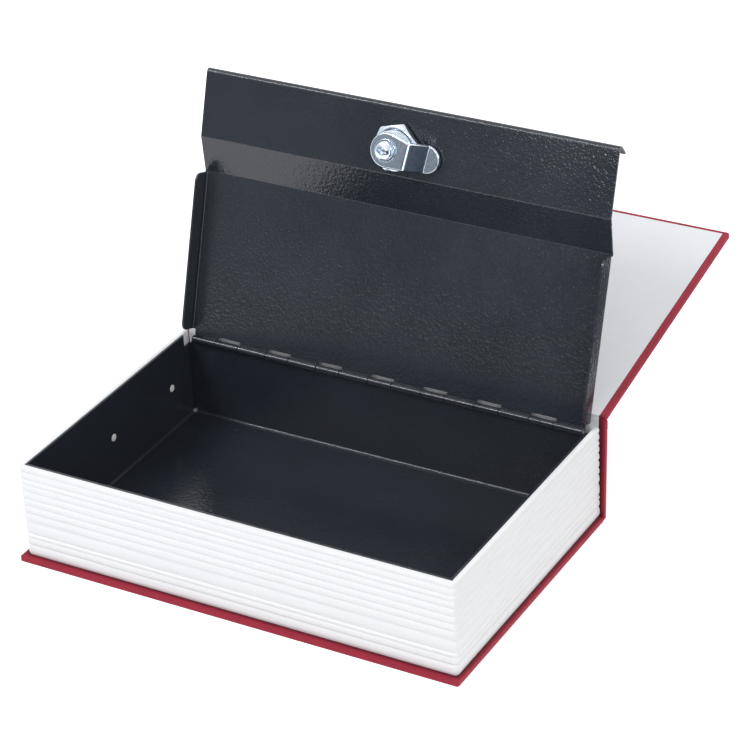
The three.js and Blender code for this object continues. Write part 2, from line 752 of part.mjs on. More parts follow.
// Naming, and moving a piece into the frame of the group that turns it
function piece(name, solid, material, origin = [0, 0, 0]) {
  const geometry = geometryOf(solid);
  geometry.translate(-origin[0], -origin[1], -origin[2]);
  const mesh = new THREE.Mesh(geometry, material);
  mesh.name = name;
  return mesh;
}

// A group that turns about a line along X by its open angle. Its origin is that line's place in the
// shut book.
function turningGroup(pivot, parentPivot, angle) {
  const group = new THREE.Group();
  group.position.set(0, pivot.x - parentPivot.x, pivot.y - parentPivot.y);
  group.rotation.x = -angle;
  return group;
}

const book = new THREE.Group();
const bookOrigin = new THREE.Vector2(0, 0);

const backParts = caseBoard(foreY, spineInnerY - foldGap, false, true);
book.add(
  piece('back_board', backParts.board, materials.board),
  piece('back_cloth', backParts.cloth, materials.cloth),
  piece('back_pastedown', backParts.lining, materials.paper),
  piece('page_block', pageBlock(), materials.plastic),
  piece('tray', tray(), materials.steel),
  piece('hinge_pin', hingePin(), materials.zinc),
);

// The spine is drawn flat, foot at the low edge, then stood on end with its lining towards the pages.
const spineGroup = turningGroup(spinePivot, bookOrigin, spineLean);
const spineParts = caseBoard(spineFootLift, spineTopZ, true, true);
const upright = THREE.MathUtils.radToDeg(quarterTurn);
const stood = (solid) => solid.rotate([upright, 0, 0]).translate([0, backY, 0]);
const spineOrigin = [0, spinePivot.x, spinePivot.y];
spineGroup.add(
  piece('spine_board', stood(spineParts.board), materials.board, spineOrigin),
  piece('spine_cloth', stood(spineParts.cloth), materials.cloth, spineOrigin),
  piece('spine_lining', stood(spineParts.lining), materials.paper, spineOrigin),
);
book.add(spineGroup);

// The front cover is drawn with its outer face down, then turned over onto the shut book.
const coverGroup = turningGroup(coverPivot, spinePivot, openAngle.cover);
const coverFoldY = spineInnerY - coverFoldSetback;
const coverParts = caseBoard(-coverFoldY, -foreY, true, false);
const halfTurn = THREE.MathUtils.radToDeg(Math.PI);
const shutOver = (solid) => solid.rotate([halfTurn, 0, 0]).translate([0, 0, coverOuterZ]);
const coverOrigin = [0, coverPivot.x, coverPivot.y];
coverGroup.add(
  piece('front_board', shutOver(coverParts.board), materials.board, coverOrigin),
  piece('front_cloth', shutOver(coverParts.cloth), materials.cloth, coverOrigin),
  piece('front_endpaper', shutOver(coverParts.lining), materials.paper, coverOrigin),
);
spineGroup.add(coverGroup);

const lidGroup = turningGroup(lidPivot, bookOrigin, openAngle.lid);
const lidOrigin = [0, hingeY, hingeZ];
const lockOrigin = [-lockOffset, hingeY - lockY, hingeZ];
lidGroup.add(
  piece('lid', lid(), materials.steel, lidOrigin),
  piece('lock_housing', lockHousing(), materials.zinc, lockOrigin),
  piece('lock_star_washer', toothWasher(), materials.zinc, lockOrigin),
  piece('lock_nut', lockNut(), materials.zinc, lockOrigin),
);
book.add(lidGroup);

const camGroup = new THREE.Group();
const camOrigin = [0, 0, hingeZ];
camGroup.position.set(lockOffset, lockY - hingeY, 0);
camGroup.rotation.z = camRest;
camGroup.add(
  piece('lock_plug', lockPlug(), materials.brass, camOrigin),
  piece('lock_cam', lockCam(), materials.zinc, camOrigin),
  piece('cam_washer', camWasher(), materials.zinc, camOrigin),
  piece('cam_screw', camScrew(), materials.zinc, camOrigin),
);
for (let index = 0; index < waferCount; index += 1) {
  camGroup.add(
    piece(`lock_wafer_${index + 1}`, wafer(index), materials.brass, camOrigin),
    piece(`wafer_spring_${index + 1}`, waferSpring(index), materials.spring, camOrigin),
  );
}
lidGroup.add(camGroup);

export default book;
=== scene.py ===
import json
import math

import bmesh
import bpy
from bpy.props import FloatProperty, FloatVectorProperty, PointerProperty
from mathutils import Matrix, Vector, noise


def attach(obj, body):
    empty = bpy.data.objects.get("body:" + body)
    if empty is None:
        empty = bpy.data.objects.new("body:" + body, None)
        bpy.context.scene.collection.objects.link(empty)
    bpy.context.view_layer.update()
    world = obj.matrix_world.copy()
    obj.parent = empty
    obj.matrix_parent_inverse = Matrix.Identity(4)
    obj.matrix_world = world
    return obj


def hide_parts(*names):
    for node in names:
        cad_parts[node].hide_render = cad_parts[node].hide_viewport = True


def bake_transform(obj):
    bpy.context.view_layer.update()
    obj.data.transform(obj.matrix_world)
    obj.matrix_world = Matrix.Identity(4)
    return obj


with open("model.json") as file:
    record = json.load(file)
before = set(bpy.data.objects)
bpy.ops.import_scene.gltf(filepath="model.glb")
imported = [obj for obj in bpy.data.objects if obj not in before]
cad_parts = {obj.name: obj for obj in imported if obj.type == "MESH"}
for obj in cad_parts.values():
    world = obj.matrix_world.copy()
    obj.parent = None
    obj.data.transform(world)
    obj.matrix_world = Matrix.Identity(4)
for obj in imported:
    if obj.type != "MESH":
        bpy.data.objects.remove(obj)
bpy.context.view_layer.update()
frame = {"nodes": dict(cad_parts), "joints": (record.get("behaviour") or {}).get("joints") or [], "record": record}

bl_info = {
    "name": "Book safe",
    "version": (1, 0, 0),
    "blender": (4, 5, 0),
    "location": "View3D > Sidebar > Book safe",
    "description": "Models and finishes the pieces of a book safe round its packed frame",
    "category": "Object",
}

MM = 0.001
HAIR = 0.01 * MM
JOINTS = {joint["name"]: joint for joint in frame["joints"]}

# Places in the shut book and sizes, in millimetres. X runs along the hinge, Y to the spine and Z up.
CASE_HALF = 120.0
COVER_STACK = 2.5
BACK_Y = 77.5
SPINE_INNER_Y = 75.0
BACK_FOLD_Y = 74.7
FRONT_FOLD_Y = 74.6
SPINE_FOOT_Z = 0.3
SPINE_TOP_Z = 54.7
COVER_OUTER_Z = 55.3
FOLD_CORNER = 0.35
BLOCK_HALF = 118.0
BLOCK_FORE_Y = -74.0
BLOCK_BOTTOM_Z = 2.5
BLOCK_TOP_Z = 52.5
BLOCK_CORNER = 2.6
POCKET_HEIGHTS = (44.25, 38.05)
POCKET_HALF = 13.0
POCKET_DEPTH = 0.75
TRAY_INSIDE_X = 114.2
STAKE_PLACES = ((0.35, 28.5), (54.33, 28.5))
STUD_RADIUS = 1.95
STUD_LENGTH = 2.4
STUD_MIDDLE = 0.95
HINGE_AXIS = JOINTS["lid_hinge"]["pos_m"]
LOCK_PLACE = (-2.0, -47.2)
LOCK_BARREL = 9.1
LOCK_FLAT = 8.0
LOCK_HEAD_FOOT_Z = 44.2

# Shares, counts, angles and tones
RIDGE_SHARES = (5.5, 4.2, 2.3, 6.9, 5.0, 4.0, 4.0, 4.2, 4.0, 2.8, 4.2, 2.9)
RIDGE_STEPS = 7
RIDGE_FULLNESS = 2.8
NUT_TURN = math.radians(-15)
CUT_EDGE_ANGLE = math.radians(35.0)
# Lowest factor of the shade painted onto the cloth's colour beside the page block
PAINTED_CONTACT_SHADE = 0.38

# The cloth over the two folds while the book stands open, as pairs of Y and Z in millimetres
FOLD_MARGIN = 0.15
TOP_FOLD_LINE = (
    (80.13, 49.5), (80.17, 52.6), (79.98, 54.3), (79.1, 54.86), (78.4, 54.9), (79.0, 55.02), (80.6, 55.32),
    (83.6, 55.9))
FOOT_FOLD_LINE = (
    (72.0, 0.13), (74.2, 0.13), (75.8, 0.14), (76.9, 0.2), (77.5, 0.75), (77.68, 2.0), (77.82, 5.0))

# The studio
WHITE = (1.0, 1.0, 1.0, 1.0)
BLACK = (0.0, 0.0, 0.0, 1.0)
LAMP_AIM = (0.0, 0.04, 0.05)
CAMERA_TARGET = (1.9, 62.8, 60.0)
HORIZON_RADIUS = 1.6
HORIZON_HEIGHT = 0.8
HORIZON_SPAN = (math.radians(-100), math.radians(110))
HORIZON_TONES = (
    (-95, 0.45), (-62, 0.3), (-45, 0.13), (-29, 0.13), (-24, 0.03), (12, 0.04), (20, 1.0), (40, 1.0),
    (50, 0.05), (100, 0.04))


# Sizes, colours and stage values that a user would change

class BookSafeSizes(bpy.types.PropertyGroup):
    turn_in: FloatProperty(
        name="Turn-in", description="Width of the cloth folded onto a cover's inner face",
        default=3.3 * MM, min=0.0, unit="LENGTH")
    fore_turn_in: FloatProperty(
        name="Fore edge turn-in", description="Width of the cloth folded in at the front cover's fore edge",
        default=1.8 * MM, min=0.0, unit="LENGTH")
    spine_turn_in: FloatProperty(
        name="Spine turn-in", description="Width of the cloth folded in at the ends of the spine",
        default=3.6 * MM, min=0.0, unit="LENGTH")
    back_turn_in: FloatProperty(
        name="Back turn-in", description="Width of the cloth folded in round the back cover",
        default=9.0 * MM, min=0.0, unit="LENGTH")
    paper: FloatProperty(
        name="Paper", description="Thickness of the lining papers",
        default=0.14 * MM, min=0.0, unit="LENGTH")
    edge_round: FloatProperty(
        name="Cover edge", description="Radius of the cloth where it wraps a cover's edge",
        default=0.9 * MM, min=0.0, unit="LENGTH")
    corner_round: FloatProperty(
        name="Cover corner", description="Radius of a cover's free corners",
        default=1.2 * MM, min=0.0, unit="LENGTH")
    groove_depth: FloatProperty(
        name="Page groove", description="Depth of the grooves between the gathered pages",
        default=0.6 * MM, min=0.0, unit="LENGTH")
    page_wall: FloatProperty(
        name="Page wall", description="Wall thickness of the page block",
        default=2.6 * MM, min=0.0, unit="LENGTH")
    page_floor: FloatProperty(
        name="Page floor", description="Thickness of the page block below the tray",
        default=1.6 * MM, min=0.0, unit="LENGTH")
    page_wander: FloatProperty(
        name="Page wander", description="How far the moulded pages stray from straight",
        default=0.16 * MM, min=0.0, unit="LENGTH")
    steel_round: FloatProperty(
        name="Sheet edge", description="Radius of the paint over the sheet's cut edges",
        default=0.28 * MM, min=0.0, unit="LENGTH")
    thread_pitch: FloatProperty(
        name="Thread pitch", description="Rise of one turn of the lock's thread",
        default=0.9 * MM, min=0.1 * MM, unit="LENGTH")


class BookSafeFinish(bpy.types.PropertyGroup):
    cloth: FloatVectorProperty(
        name="Cloth", description="Colour of the book cloth",
        default=(0.365, 0.019, 0.044), min=0.0, max=1.0, subtype="COLOR")
    paper: FloatVectorProperty(
        name="Paper", description="Colour of the lining papers",
        default=(0.8, 0.81, 0.84), min=0.0, max=1.0, subtype="COLOR")
    pages: FloatVectorProperty(
        name="Pages", description="Colour of the page block",
        default=(0.852, 0.856, 0.866), min=0.0, max=1.0, subtype="COLOR")
    steel: FloatVectorProperty(
        name="Steel paint", description="Colour of the powder coat",
        default=(0.0205, 0.0245, 0.0335), min=0.0, max=1.0, subtype="COLOR")
    zinc: FloatVectorProperty(
        name="Zinc", description="Colour of the bright plate on the lock",
        default=(0.68, 0.76, 0.86), min=0.0, max=1.0, subtype="COLOR")
    brass: FloatVectorProperty(
        name="Brass", description="Colour of the plug and wafers",
        default=(0.72, 0.56, 0.28), min=0.0, max=1.0, subtype="COLOR")
    board: FloatVectorProperty(
        name="Board", description="Colour of the grey board",
        default=(0.32, 0.3, 0.27), min=0.0, max=1.0, subtype="COLOR")
    threads: FloatProperty(
        name="Threads", description="Threads of the book cloth in a millimetre",
        default=2.6, min=0.5, max=10.0)
    peel: FloatProperty(
        name="Orange peel", description="Depth of the powder coat's dimples",
        default=0.088 * MM, min=0.0, unit="LENGTH")


class BookSafeStage(bpy.types.PropertyGroup):
    azimuth: FloatProperty(
        name="Azimuth", description="Turn of the camera round the book",
        default=math.radians(30.56), subtype="ANGLE")
    elevation: FloatProperty(
        name="Elevation", description="Angle of the camera above the horizon",
        default=math.radians(29.74), subtype="ANGLE")
    roll: FloatProperty(
        name="Roll", description="Turn of the camera about its line of sight",
        default=math.radians(-2.86), subtype="ANGLE")
    distance: FloatProperty(
        name="Distance", description="From the camera to the point that it looks at",
        default=1432.6 * MM, min=0.1, unit="LENGTH")
    lens: FloatProperty(
        name="Lens", description="Focal length in millimetres",
        default=139.66, min=10.0)
    key_power: FloatProperty(
        name="Key lamp", description="Power of the large soft lamp at the left",
        default=2.8, min=0.0, unit="POWER")
    fill_power: FloatProperty(
        name="Fill lamp", description="Power of the soft lamp at the right",
        default=9.0, min=0.0, unit="POWER")
    back_power: FloatProperty(
        name="Back lamp", description="Power of the soft lamp above and behind",
        default=13.0, min=0.0, unit="POWER")
    front_power: FloatProperty(
        name="Front lamp", description="Power of the small lamp at the front",
        default=2.2, min=0.0, unit="POWER")
    strip_power: FloatProperty(
        name="Strip lamp", description="Power of the thin lamp that lights rolled and folded edges",
        default=6.5, min=0.0, unit="POWER")
    room: FloatProperty(
        name="Room light", description="Strength of the light from all round",
        default=0.65, min=0.0)


# Where a piece of the shut book goes when the book stands open

def opened(joint_name):
    """Turn that carries a shut body to its rest place about one joint."""
    joint = JOINTS[joint_name]
    place = Matrix.Translation(Vector(joint["pos_m"]))
    turn = Matrix.Rotation(-math.radians(joint["range_deg"][1]), 4, Vector(joint["axis"]))
    return place @ turn @ place.inverted()


SPINE_PLACE = opened("spine_fold")
COVER_PLACE = opened("front_cover_fold") @ SPINE_PLACE
LID_PLACE = opened("lid_hinge")
LOCK_FRAME = LID_PLACE @ Matrix.Translation((LOCK_PLACE[0] * MM, LOCK_PLACE[1] * MM, 0.0))
STAND_SPINE = Matrix.Translation((0.0, BACK_Y * MM, 0.0)) @ Matrix.Rotation(math.radians(90), 4, "X")
TURN_OVER = Matrix.Translation((0.0, 0.0, COVER_OUTER_Z * MM)) @ Matrix.Rotation(math.radians(180), 4, "X")


# Mesh helpers

def verts_in(geom):
    return [item for item in geom if isinstance(item, bmesh.types.BMVert)]


def edges_between(verts):
    inside = set(verts)
    edges = dict.fromkeys(edge for vert in verts for edge in vert.link_edges)
    return [edge for edge in edges if edge.verts[0] in inside and edge.verts[1] in inside]


def bevelled(bm, edges, offset, segments, clamped=True):
    """Rounds edges and gives the new faces."""
    return bmesh.ops.bevel(
        bm, geom=edges, offset=offset, affect="EDGES", segments=segments, profile=0.5,
        material=-1, clamp_overlap=clamped)["faces"]


def block_between(bm, low, high):
    """A box between two corners."""
    low, high = Vector(low), Vector(high)
    verts = bmesh.ops.create_cube(bm, size=1.0)["verts"]
    bmesh.ops.scale(bm, vec=high - low, verts=verts)
    bmesh.ops.translate(bm, vec=(low + high) / 2, verts=verts)


def cut_along(bm, axis, start, length, parts):
    """Cuts the faces into even strips along one axis."""
    way = Vector([float(index == axis) for index in range(3)])
    for index in range(1, parts):
        bmesh.ops.bisect_plane(
            bm, geom=bm.verts[:] + bm.edges[:] + bm.faces[:], plane_co=way * (start + index * length / parts),
            plane_no=way)


def made_object(name, bm, material):
    """A new object in the scene with the bmesh's shape and one material."""
    mesh = bpy.data.meshes.new(name)
    bm.to_mesh(mesh)
    bm.free()
    mesh.materials.append(material)
    made = bpy.data.objects.new(name, mesh)
    bpy.context.scene.collection.objects.link(made)
    return made


def finish_piece(name, bm, body, slot_name, stands_for=(), sharp=40.0):
    """Turns a bmesh into a named piece that rides on a body, with smooth faces between its sharp edges."""
    piece = made_object(name, bm, finish_of(slot_name))
    for face in piece.data.polygons:
        face.use_smooth = True
    piece.data.set_sharp_from_angle(angle=math.radians(sharp))
    even = piece.modifiers.new("Even shading", "WEIGHTED_NORMAL")
    even.keep_sharp = True
    if body:
        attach(piece, body)
    if stands_for:
        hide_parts(*stands_for)
    return piece


def map_from_faces(bm):
    """Lays the surface out in millimetres, each face seen along its own main direction."""
    layer = bm.loops.layers.uv.new("Weave")
    bm.normal_update()
    for face in bm.faces:
        across = max(range(3), key=lambda axis: abs(face.normal[axis]))
        first, second = (axis for axis in range(3) if axis != across)
        for loop in face.loops:
            loop[layer].uv = (loop.vert.co[first] / MM, loop.vert.co[second] / MM)


def stray(bm, verts, amount, scale, shift):
    """Moves vertices a little along their normals by a smooth field."""
    bm.normal_update()
    moves = [(vert, vert.normal * amount * noise.noise(vert.co * scale + shift)) for vert in verts]
    for vert, move in moves:
        vert.co += move


def slab(low_y, high_y, fold_low, fold_high, sizes):
    """One cover lying flat, outer face down: a padded board with rounded edges under its cloth."""
    thick = COVER_STACK * MM - sizes.paper
    half = CASE_HALF * MM
    sides = ((low_y * MM, fold_low), (high_y * MM, fold_high))
    bm = bmesh.new()
    block_between(bm, (-half, low_y * MM, 0.0), (half, high_y * MM, thick))
    for side, at_fold in sides:
        corners = [
            edge for edge in bm.edges
            if abs(edge.verts[0].co.z - edge.verts[1].co.z) > thick / 2
            and abs(edge.verts[0].co.y - side) < HAIR]
        bevelled(bm, corners, FOLD_CORNER * MM if at_fold else sizes.corner_round, 6)
    folds = [side for side, at_fold in sides if at_fold]
    level = [edge for edge in bm.edges if abs(edge.verts[0].co.z - edge.verts[1].co.z) < HAIR]
    at_folds = [
        edge for edge in level
        if any(all(abs(vert.co.y - fold) < 0.4 * MM for vert in edge.verts) for fold in folds)]
    bevelled(bm, [edge for edge in level if edge not in at_folds], sizes.edge_round, 5)
    cut_along(bm, 0, -half, 2 * half, 40)
    cut_along(bm, 1, low_y * MM, (high_y - low_y) * MM, 26)
    rim = [vert for vert in bm.verts if 0.2 * MM < vert.co.z < thick - 0.2 * MM]
    stray(bm, rim, 0.1 * MM, 90.0, Vector((low_y, 0.0, 3.0)))
    map_from_faces(bm)
    return bm


def lining(low_y, high_y, fold_low, fold_high, sizes, ends, fore):
    """The paper that covers a cover's inner face and the raw edges of the turned-in cloth."""
    top = COVER_STACK * MM
    half = CASE_HALF * MM - ends
    low = low_y * MM + (0.0 if fold_low else fore)
    high = high_y * MM - (0.0 if fold_high else fore)
    bm = bmesh.new()
    block_between(bm, (-half, low, top - sizes.paper), (half, high, top))
    rims = [edge for edge in bm.edges if min(vert.co.z for vert in edge.verts) > top - sizes.paper / 2]
    bevelled(bm, rims, 0.06 * MM, 2)
    map_from_faces(bm)
    return bm


def through_points(points, steps):
    """A smooth line through points of the YZ plane."""
    ends = [points[0]] + list(points) + [points[-1]]
    line = []
    for before, start, end, after in zip(ends, ends[1:], ends[2:], ends[3:]):
        for step in range(steps):
            share = step / steps
            line.append(tuple(
                0.5 * (2 * start[axis] + (end[axis] - before[axis]) * share
                       + (2 * before[axis] - 5 * start[axis] + 4 * end[axis] - after[axis]) * share ** 2
                       + (3 * start[axis] - before[axis] - 3 * end[axis] + after[axis]) * share ** 3)
                for axis in range(2)))
    line.append(tuple(points[-1]))
    return line


def folded_sheet(points, half, thickness, columns=24):
    """A thin sheet that follows a line across the book and runs along the hinge."""
    line = through_points([(y * MM, z * MM) for y, z in points], 5)
    travel = [0.0]
    for here, there in zip(line, line[1:]):
        travel.append(travel[-1] + math.dist(here, there))
    bm = bmesh.new()
    chain = [bm.verts.new((-half, y, z)) for y, z in line]
    edges = [bm.edges.new(pair) for pair in zip(chain, chain[1:])]
    for _ in range(columns):
        new = verts_in(bmesh.ops.extrude_edge_only(bm, edges=edges)["geom"])
        bmesh.ops.translate(bm, vec=(2 * half / columns, 0.0, 0.0), verts=new)
        edges = edges_between(new)
    layer = bm.loops.layers.uv.new("Weave")
    for face in bm.faces:
        for loop in face.loops:
            place = loop.vert.co
            nearest = min(range(len(line)), key=lambda index: math.dist(line[index], place.yz))
            loop[layer].uv = (place.x / MM, travel[nearest] / MM)
    bmesh.ops.recalc_face_normals(bm, faces=bm.faces)
    bmesh.ops.solidify(bm, geom=bm.faces[:], thickness=thickness)
    bmesh.ops.recalc_face_normals(bm, faces=bm.faces)
    return bm


def turned(profile, steps):
    """A solid of revolution about Z from a closed ring of radius and height pairs in millimetres."""
    bm = bmesh.new()
    ring = [bm.verts.new((radius * MM, 0.0, height * MM)) for radius, height in profile]
    edges = [bm.edges.new(pair) for pair in zip(ring, ring[1:] + ring[:1])]
    bmesh.ops.spin(
        bm, geom=ring + edges, cent=(0, 0, 0), axis=(0, 0, 1), angle=2 * math.pi, steps=steps, use_merge=True)
    bmesh.ops.remove_doubles(bm, verts=bm.verts, dist=0.001 * MM)
    bmesh.ops.recalc_face_normals(bm, faces=bm.faces)
    return bm


def copied_node(name, edge_round, segments=2, clamped=True):
    """A CAD node's own shape, with its faces joined and its cut edges rounded."""
    bm = bmesh.new()
    bm.from_mesh(frame["nodes"][name].data)
    bmesh.ops.remove_doubles(bm, verts=bm.verts, dist=0.002 * MM)
    bmesh.ops.dissolve_limit(
        bm, angle_limit=math.radians(1.0), use_dissolve_boundaries=False, verts=bm.verts, edges=bm.edges)
    cut = [
        edge for edge in bm.edges
        if len(edge.link_faces) == 2 and edge.calc_face_angle(0.0) > CUT_EDGE_ANGLE]
    rounded = bevelled(bm, cut, edge_round, segments, clamped)
    mark = bm.loops.layers.float.new("Cut edge")
    for face in rounded:
        for loop in face.loops:
            loop[mark] = 1.0
    return bm


# Material helpers

def feed(tree, target, values):
    """Sets a node's inputs: another node's socket is linked, and anything else is the input's own value."""
    for key, value in values.items():
        if isinstance(value, bpy.types.NodeSocket):
            tree.links.new(value, target.inputs[key])
        else:
            target.inputs[key].default_value = value


def node(tree, kind, settings, values):
    """A new node with its settings made and its inputs fed."""
    made = tree.nodes.new(kind)
    for key, value in settings.items():
        setattr(made, key, value)
    feed(tree, made, values)
    return made


def math_of(tree, operation, *values):
    return node(tree, "ShaderNodeMath", {"operation": operation}, dict(enumerate(values))).outputs[0]


def vector_math_of(tree, operation, *values):
    return node(tree, "ShaderNodeVectorMath", {"operation": operation}, dict(enumerate(values))).outputs


def ranged(tree, value, low, high, start=0.0, end=1.0, way="LINEAR"):
    """Carries a value from the range between start and end to the one between low and high."""
    return node(tree, "ShaderNodeMapRange", {"interpolation_type": way}, {
        "Value": value, "From Min": start, "From Max": end, "To Min": low, "To Max": high}).outputs["Result"]


def mixed(tree, factor, first, second, way="MIX"):
    """Two colours mixed or multiplied. A Mix node's colours are its inputs 6 and 7 and its output 2."""
    return node(tree, "ShaderNodeMix", {"data_type": "RGBA", "blend_type": way}, {
        "Factor": factor, 6: first, 7: second}).outputs[2]


def marked(tree, name):
    """How far a place carries a mark that its mesh holds."""
    return node(tree, "ShaderNodeAttribute", {"attribute_name": name}, {}).outputs["Fac"]


def object_vector(tree):
    return node(tree, "ShaderNodeTexCoord", {}, {}).outputs["Object"]


def bumped(tree, shader, height, strength, distance):
    bump = node(tree, "ShaderNodeBump", {}, {"Height": height, "Strength": strength, "Distance": distance})
    feed(tree, shader, {"Normal": bump.outputs["Normal"]})


def fresh(name):
    """A new material, its node tree and its Principled shader."""
    material = bpy.data.materials.new(name)
    material.use_nodes = True
    tree = material.node_tree
    return material, tree, tree.nodes["Principled BSDF"]


def new_group(name, inputs, outputs):
    """An empty node group, the sockets of its input node, and its output node."""
    group = bpy.data.node_groups.new(name, "ShaderNodeTree")
    for label, kind, default in inputs:
        socket = group.interface.new_socket(label, in_out="INPUT", socket_type=f"NodeSocket{kind}")
        if default is not None:
            socket.default_value = default
    for label, kind in outputs:
        group.interface.new_socket(label, in_out="OUTPUT", socket_type=f"NodeSocket{kind}")
    return group, group.nodes.new("NodeGroupInput").outputs, group.nodes.new("NodeGroupOutput")


def placed_group(tree, name, values):
    """The outputs of a shared effect in a material. The effect is built when it is first asked for."""
    made = tree.nodes.new("ShaderNodeGroup")
    made.node_tree = bpy.data.node_groups.get(name) or GROUPS[name](name)
    feed(tree, made, values)
    return made.outputs


# Effects that several materials share

def mottle_group(name):
    """Soft uneven patches: a value from 0 to 1 and a colour between two tones."""
    group, given, result = new_group(
        name,
        (("Vector", "Vector", None), ("Scale", "Float", 100.0), ("Detail", "Float", 3.0),
         ("Contrast", "Float", 0.2), ("Tone A", "Color", (0.5, 0.5, 0.5, 1.0)),
         ("Tone B", "Color", (0.6, 0.6, 0.6, 1.0))),
        (("Value", "Float"), ("Color", "Color")))
    field = node(group, "ShaderNodeTexNoise", {}, {
        "Vector": given["Vector"], "Scale": given["Scale"], "Detail": given["Detail"], "Roughness": 0.55})
    low = math_of(group, "SUBTRACT", 0.5, given["Contrast"])
    high = math_of(group, "ADD", 0.5, given["Contrast"])
    value = ranged(group, field.outputs["Fac"], 0.0, 1.0, low, high)
    feed(group, result, {"Value": value, "Color": mixed(group, value, given["Tone A"], given["Tone B"])})
    return group


def weave_group(name):
    """Plain weave on a map in millimetres: the height of its threads and a shade for their gaps."""
    group, given, result = new_group(
        name,
        (("Vector", "Vector", None), ("Threads", "Float", 2.6)),
        (("Height", "Float"), ("Shade", "Float")))
    place = given["Vector"]
    scaled = node(group, "ShaderNodeVectorMath", {"operation": "SCALE"}, {
        0: place, "Scale": given["Threads"]})
    bend = node(group, "ShaderNodeTexNoise", {}, {"Vector": place, "Scale": 0.35, "Detail": 2.0})
    bent = vector_math_of(group, "MULTIPLY_ADD", bend.outputs["Color"], (0.5, 0.5, 0.5), scaled.outputs[0])
    split = node(group, "ShaderNodeSeparateXYZ", {}, {0: bent[0]}).outputs
    threads = [math_of(group, "SINE", math_of(group, "MULTIPLY", split[axis], math.pi)) for axis in "XY"]
    crown = math_of(group, "ABSOLUTE", math_of(group, "MULTIPLY", *threads))
    slub = node(group, "ShaderNodeTexNoise", {}, {"Vector": place, "Scale": 1.3, "Detail": 3.0})
    height = math_of(group, "MULTIPLY_ADD", crown, 0.7, slub.outputs["Fac"])
    feed(group, result, {"Height": height, "Shade": ranged(group, height, 0.0, 1.0, 0.1, 1.1)})
    return group


def grain_group(name):
    """Fine surface height: broad waves less small pits, which also come out on their own."""
    group, given, result = new_group(
        name,
        (("Vector", "Vector", None), ("Broad", "Float", 400.0), ("Fine", "Float", 2000.0),
         ("Pits", "Float", 0.5)),
        (("Height", "Float"), ("Pit", "Float")))
    broad = node(group, "ShaderNodeTexNoise", {}, {
        "Vector": given["Vector"], "Scale": given["Broad"], "Detail": 2.0, "Roughness": 0.45})
    fine = node(group, "ShaderNodeTexVoronoi", {"feature": "SMOOTH_F1"}, {
        "Vector": given["Vector"], "Scale": given["Fine"], "Smoothness": 0.6})
    pit = fine.outputs["Distance"]
    dip = math_of(group, "MULTIPLY", pit, given["Pits"])
    feed(group, result, {"Height": math_of(group, "SUBTRACT", broad.outputs["Fac"], dip), "Pit": pit})
    return group


GROUPS = {"Mottle": mottle_group, "Plain weave": weave_group, "Surface grain": grain_group}


def shaded(colour, factor):
    return tuple(channel * factor for channel in colour) + (1.0,)


def mottled(tree, place, colour, tones, scale, detail, contrast):
    """Patches between a darker and a lighter tone of a colour."""
    return placed_group(tree, "Mottle", {
        "Vector": place, "Scale": scale, "Detail": detail, "Contrast": contrast,
        "Tone A": shaded(colour, tones[0]), "Tone B": shaded(colour, tones[1])})


def grained(tree, place, broad, fine, pits):
    return placed_group(tree, "Surface grain", {"Vector": place, "Broad": broad, "Fine": fine, "Pits": pits})


def painted_shade_beside_pages(tree, place):
    """Painted shade on the cloth's colour: low where the page block stands on it, rising to 1 a few millimetres
    away.
    """
    lean = math.tan(math.radians(JOINTS["spine_fold"]["range_deg"][1]))
    steep = 3.0
    planes = (
        ((1.0, 0.0, 0.0), -BLOCK_HALF),
        ((-1.0, 0.0, 0.0), -BLOCK_HALF),
        ((0.0, -1.0, 0.0), BLOCK_FORE_Y),
        ((0.0, steep, -steep * lean), -steep * (SPINE_INNER_Y + 0.5)),
        ((0.0, 0.0, -1.5), 2.4),
    )
    furthest = None
    for weights, shift in planes:
        along = vector_math_of(tree, "DOT_PRODUCT", place, weights)["Value"]
        away = math_of(tree, "ADD", along, shift * MM)
        furthest = math_of(tree, "MAXIMUM", furthest, away) if furthest else away
    return ranged(tree, furthest, PAINTED_CONTACT_SHADE, 1.0, -0.3 * MM, 2.1 * MM, "SMOOTHSTEP")


def smooth_parts(tree, place, cut):
    """1 on the sheet's cut edges and near the hinge pin, where the paint flows out smooth, else 0."""
    from_pin = vector_math_of(
        tree, "MULTIPLY_ADD", place, (0.0, 1.0, 1.0), tuple(-part for part in HINGE_AXIS))[0]
    reach = vector_math_of(tree, "LENGTH", from_pin)["Value"]
    return math_of(tree, "MAXIMUM", ranged(tree, reach, 1.0, 0.0, 3.0 * MM, 3.4 * MM), cut)


# The finishes

def book_cloth(finish):
    material, tree, shader = fresh("Book cloth")
    chart = node(tree, "ShaderNodeUVMap", {"uv_map": "Weave"}, {}).outputs["UV"]
    weave = placed_group(tree, "Plain weave", {"Vector": chart, "Threads": finish.threads})
    patches = mottled(tree, chart, finish.cloth, (0.86, 1.1), 0.12, 4.0, 0.25)
    tint = mixed(tree, weave["Shade"], (0.5, 0.42, 0.44, 1.0), (1.15, 1.1, 1.1, 1.0))
    woven = mixed(tree, 1.0, patches["Color"], tint, "MULTIPLY")
    # The base colour carries painted shade beside the page block.
    feed(tree, shader, {
        "Base Color": mixed(tree, 1.0, woven, painted_shade_beside_pages(tree, object_vector(tree)), "MULTIPLY"),
        "Roughness": ranged(tree, weave["Shade"], 0.7, 0.5), "Specular IOR Level": 0.25})
    bumped(tree, shader, weave["Height"], 0.7, 0.06 * MM)
    return material


def lining_paper(finish):
    material, tree, shader = fresh("Lining paper")
    place = object_vector(tree)
    fibres = grained(tree, place, 900.0, 3200.0, 0.35)
    patches = mottled(tree, place, finish.paper, (0.97, 1.015), 60.0, 5.0, 0.25)
    feed(tree, shader, {
        "Base Color": patches["Color"], "Roughness": ranged(tree, patches["Value"], 0.62, 0.74),
        "Specular IOR Level": 0.3})
    bumped(tree, shader, fibres["Height"], 0.35, 0.03 * MM)
    return material


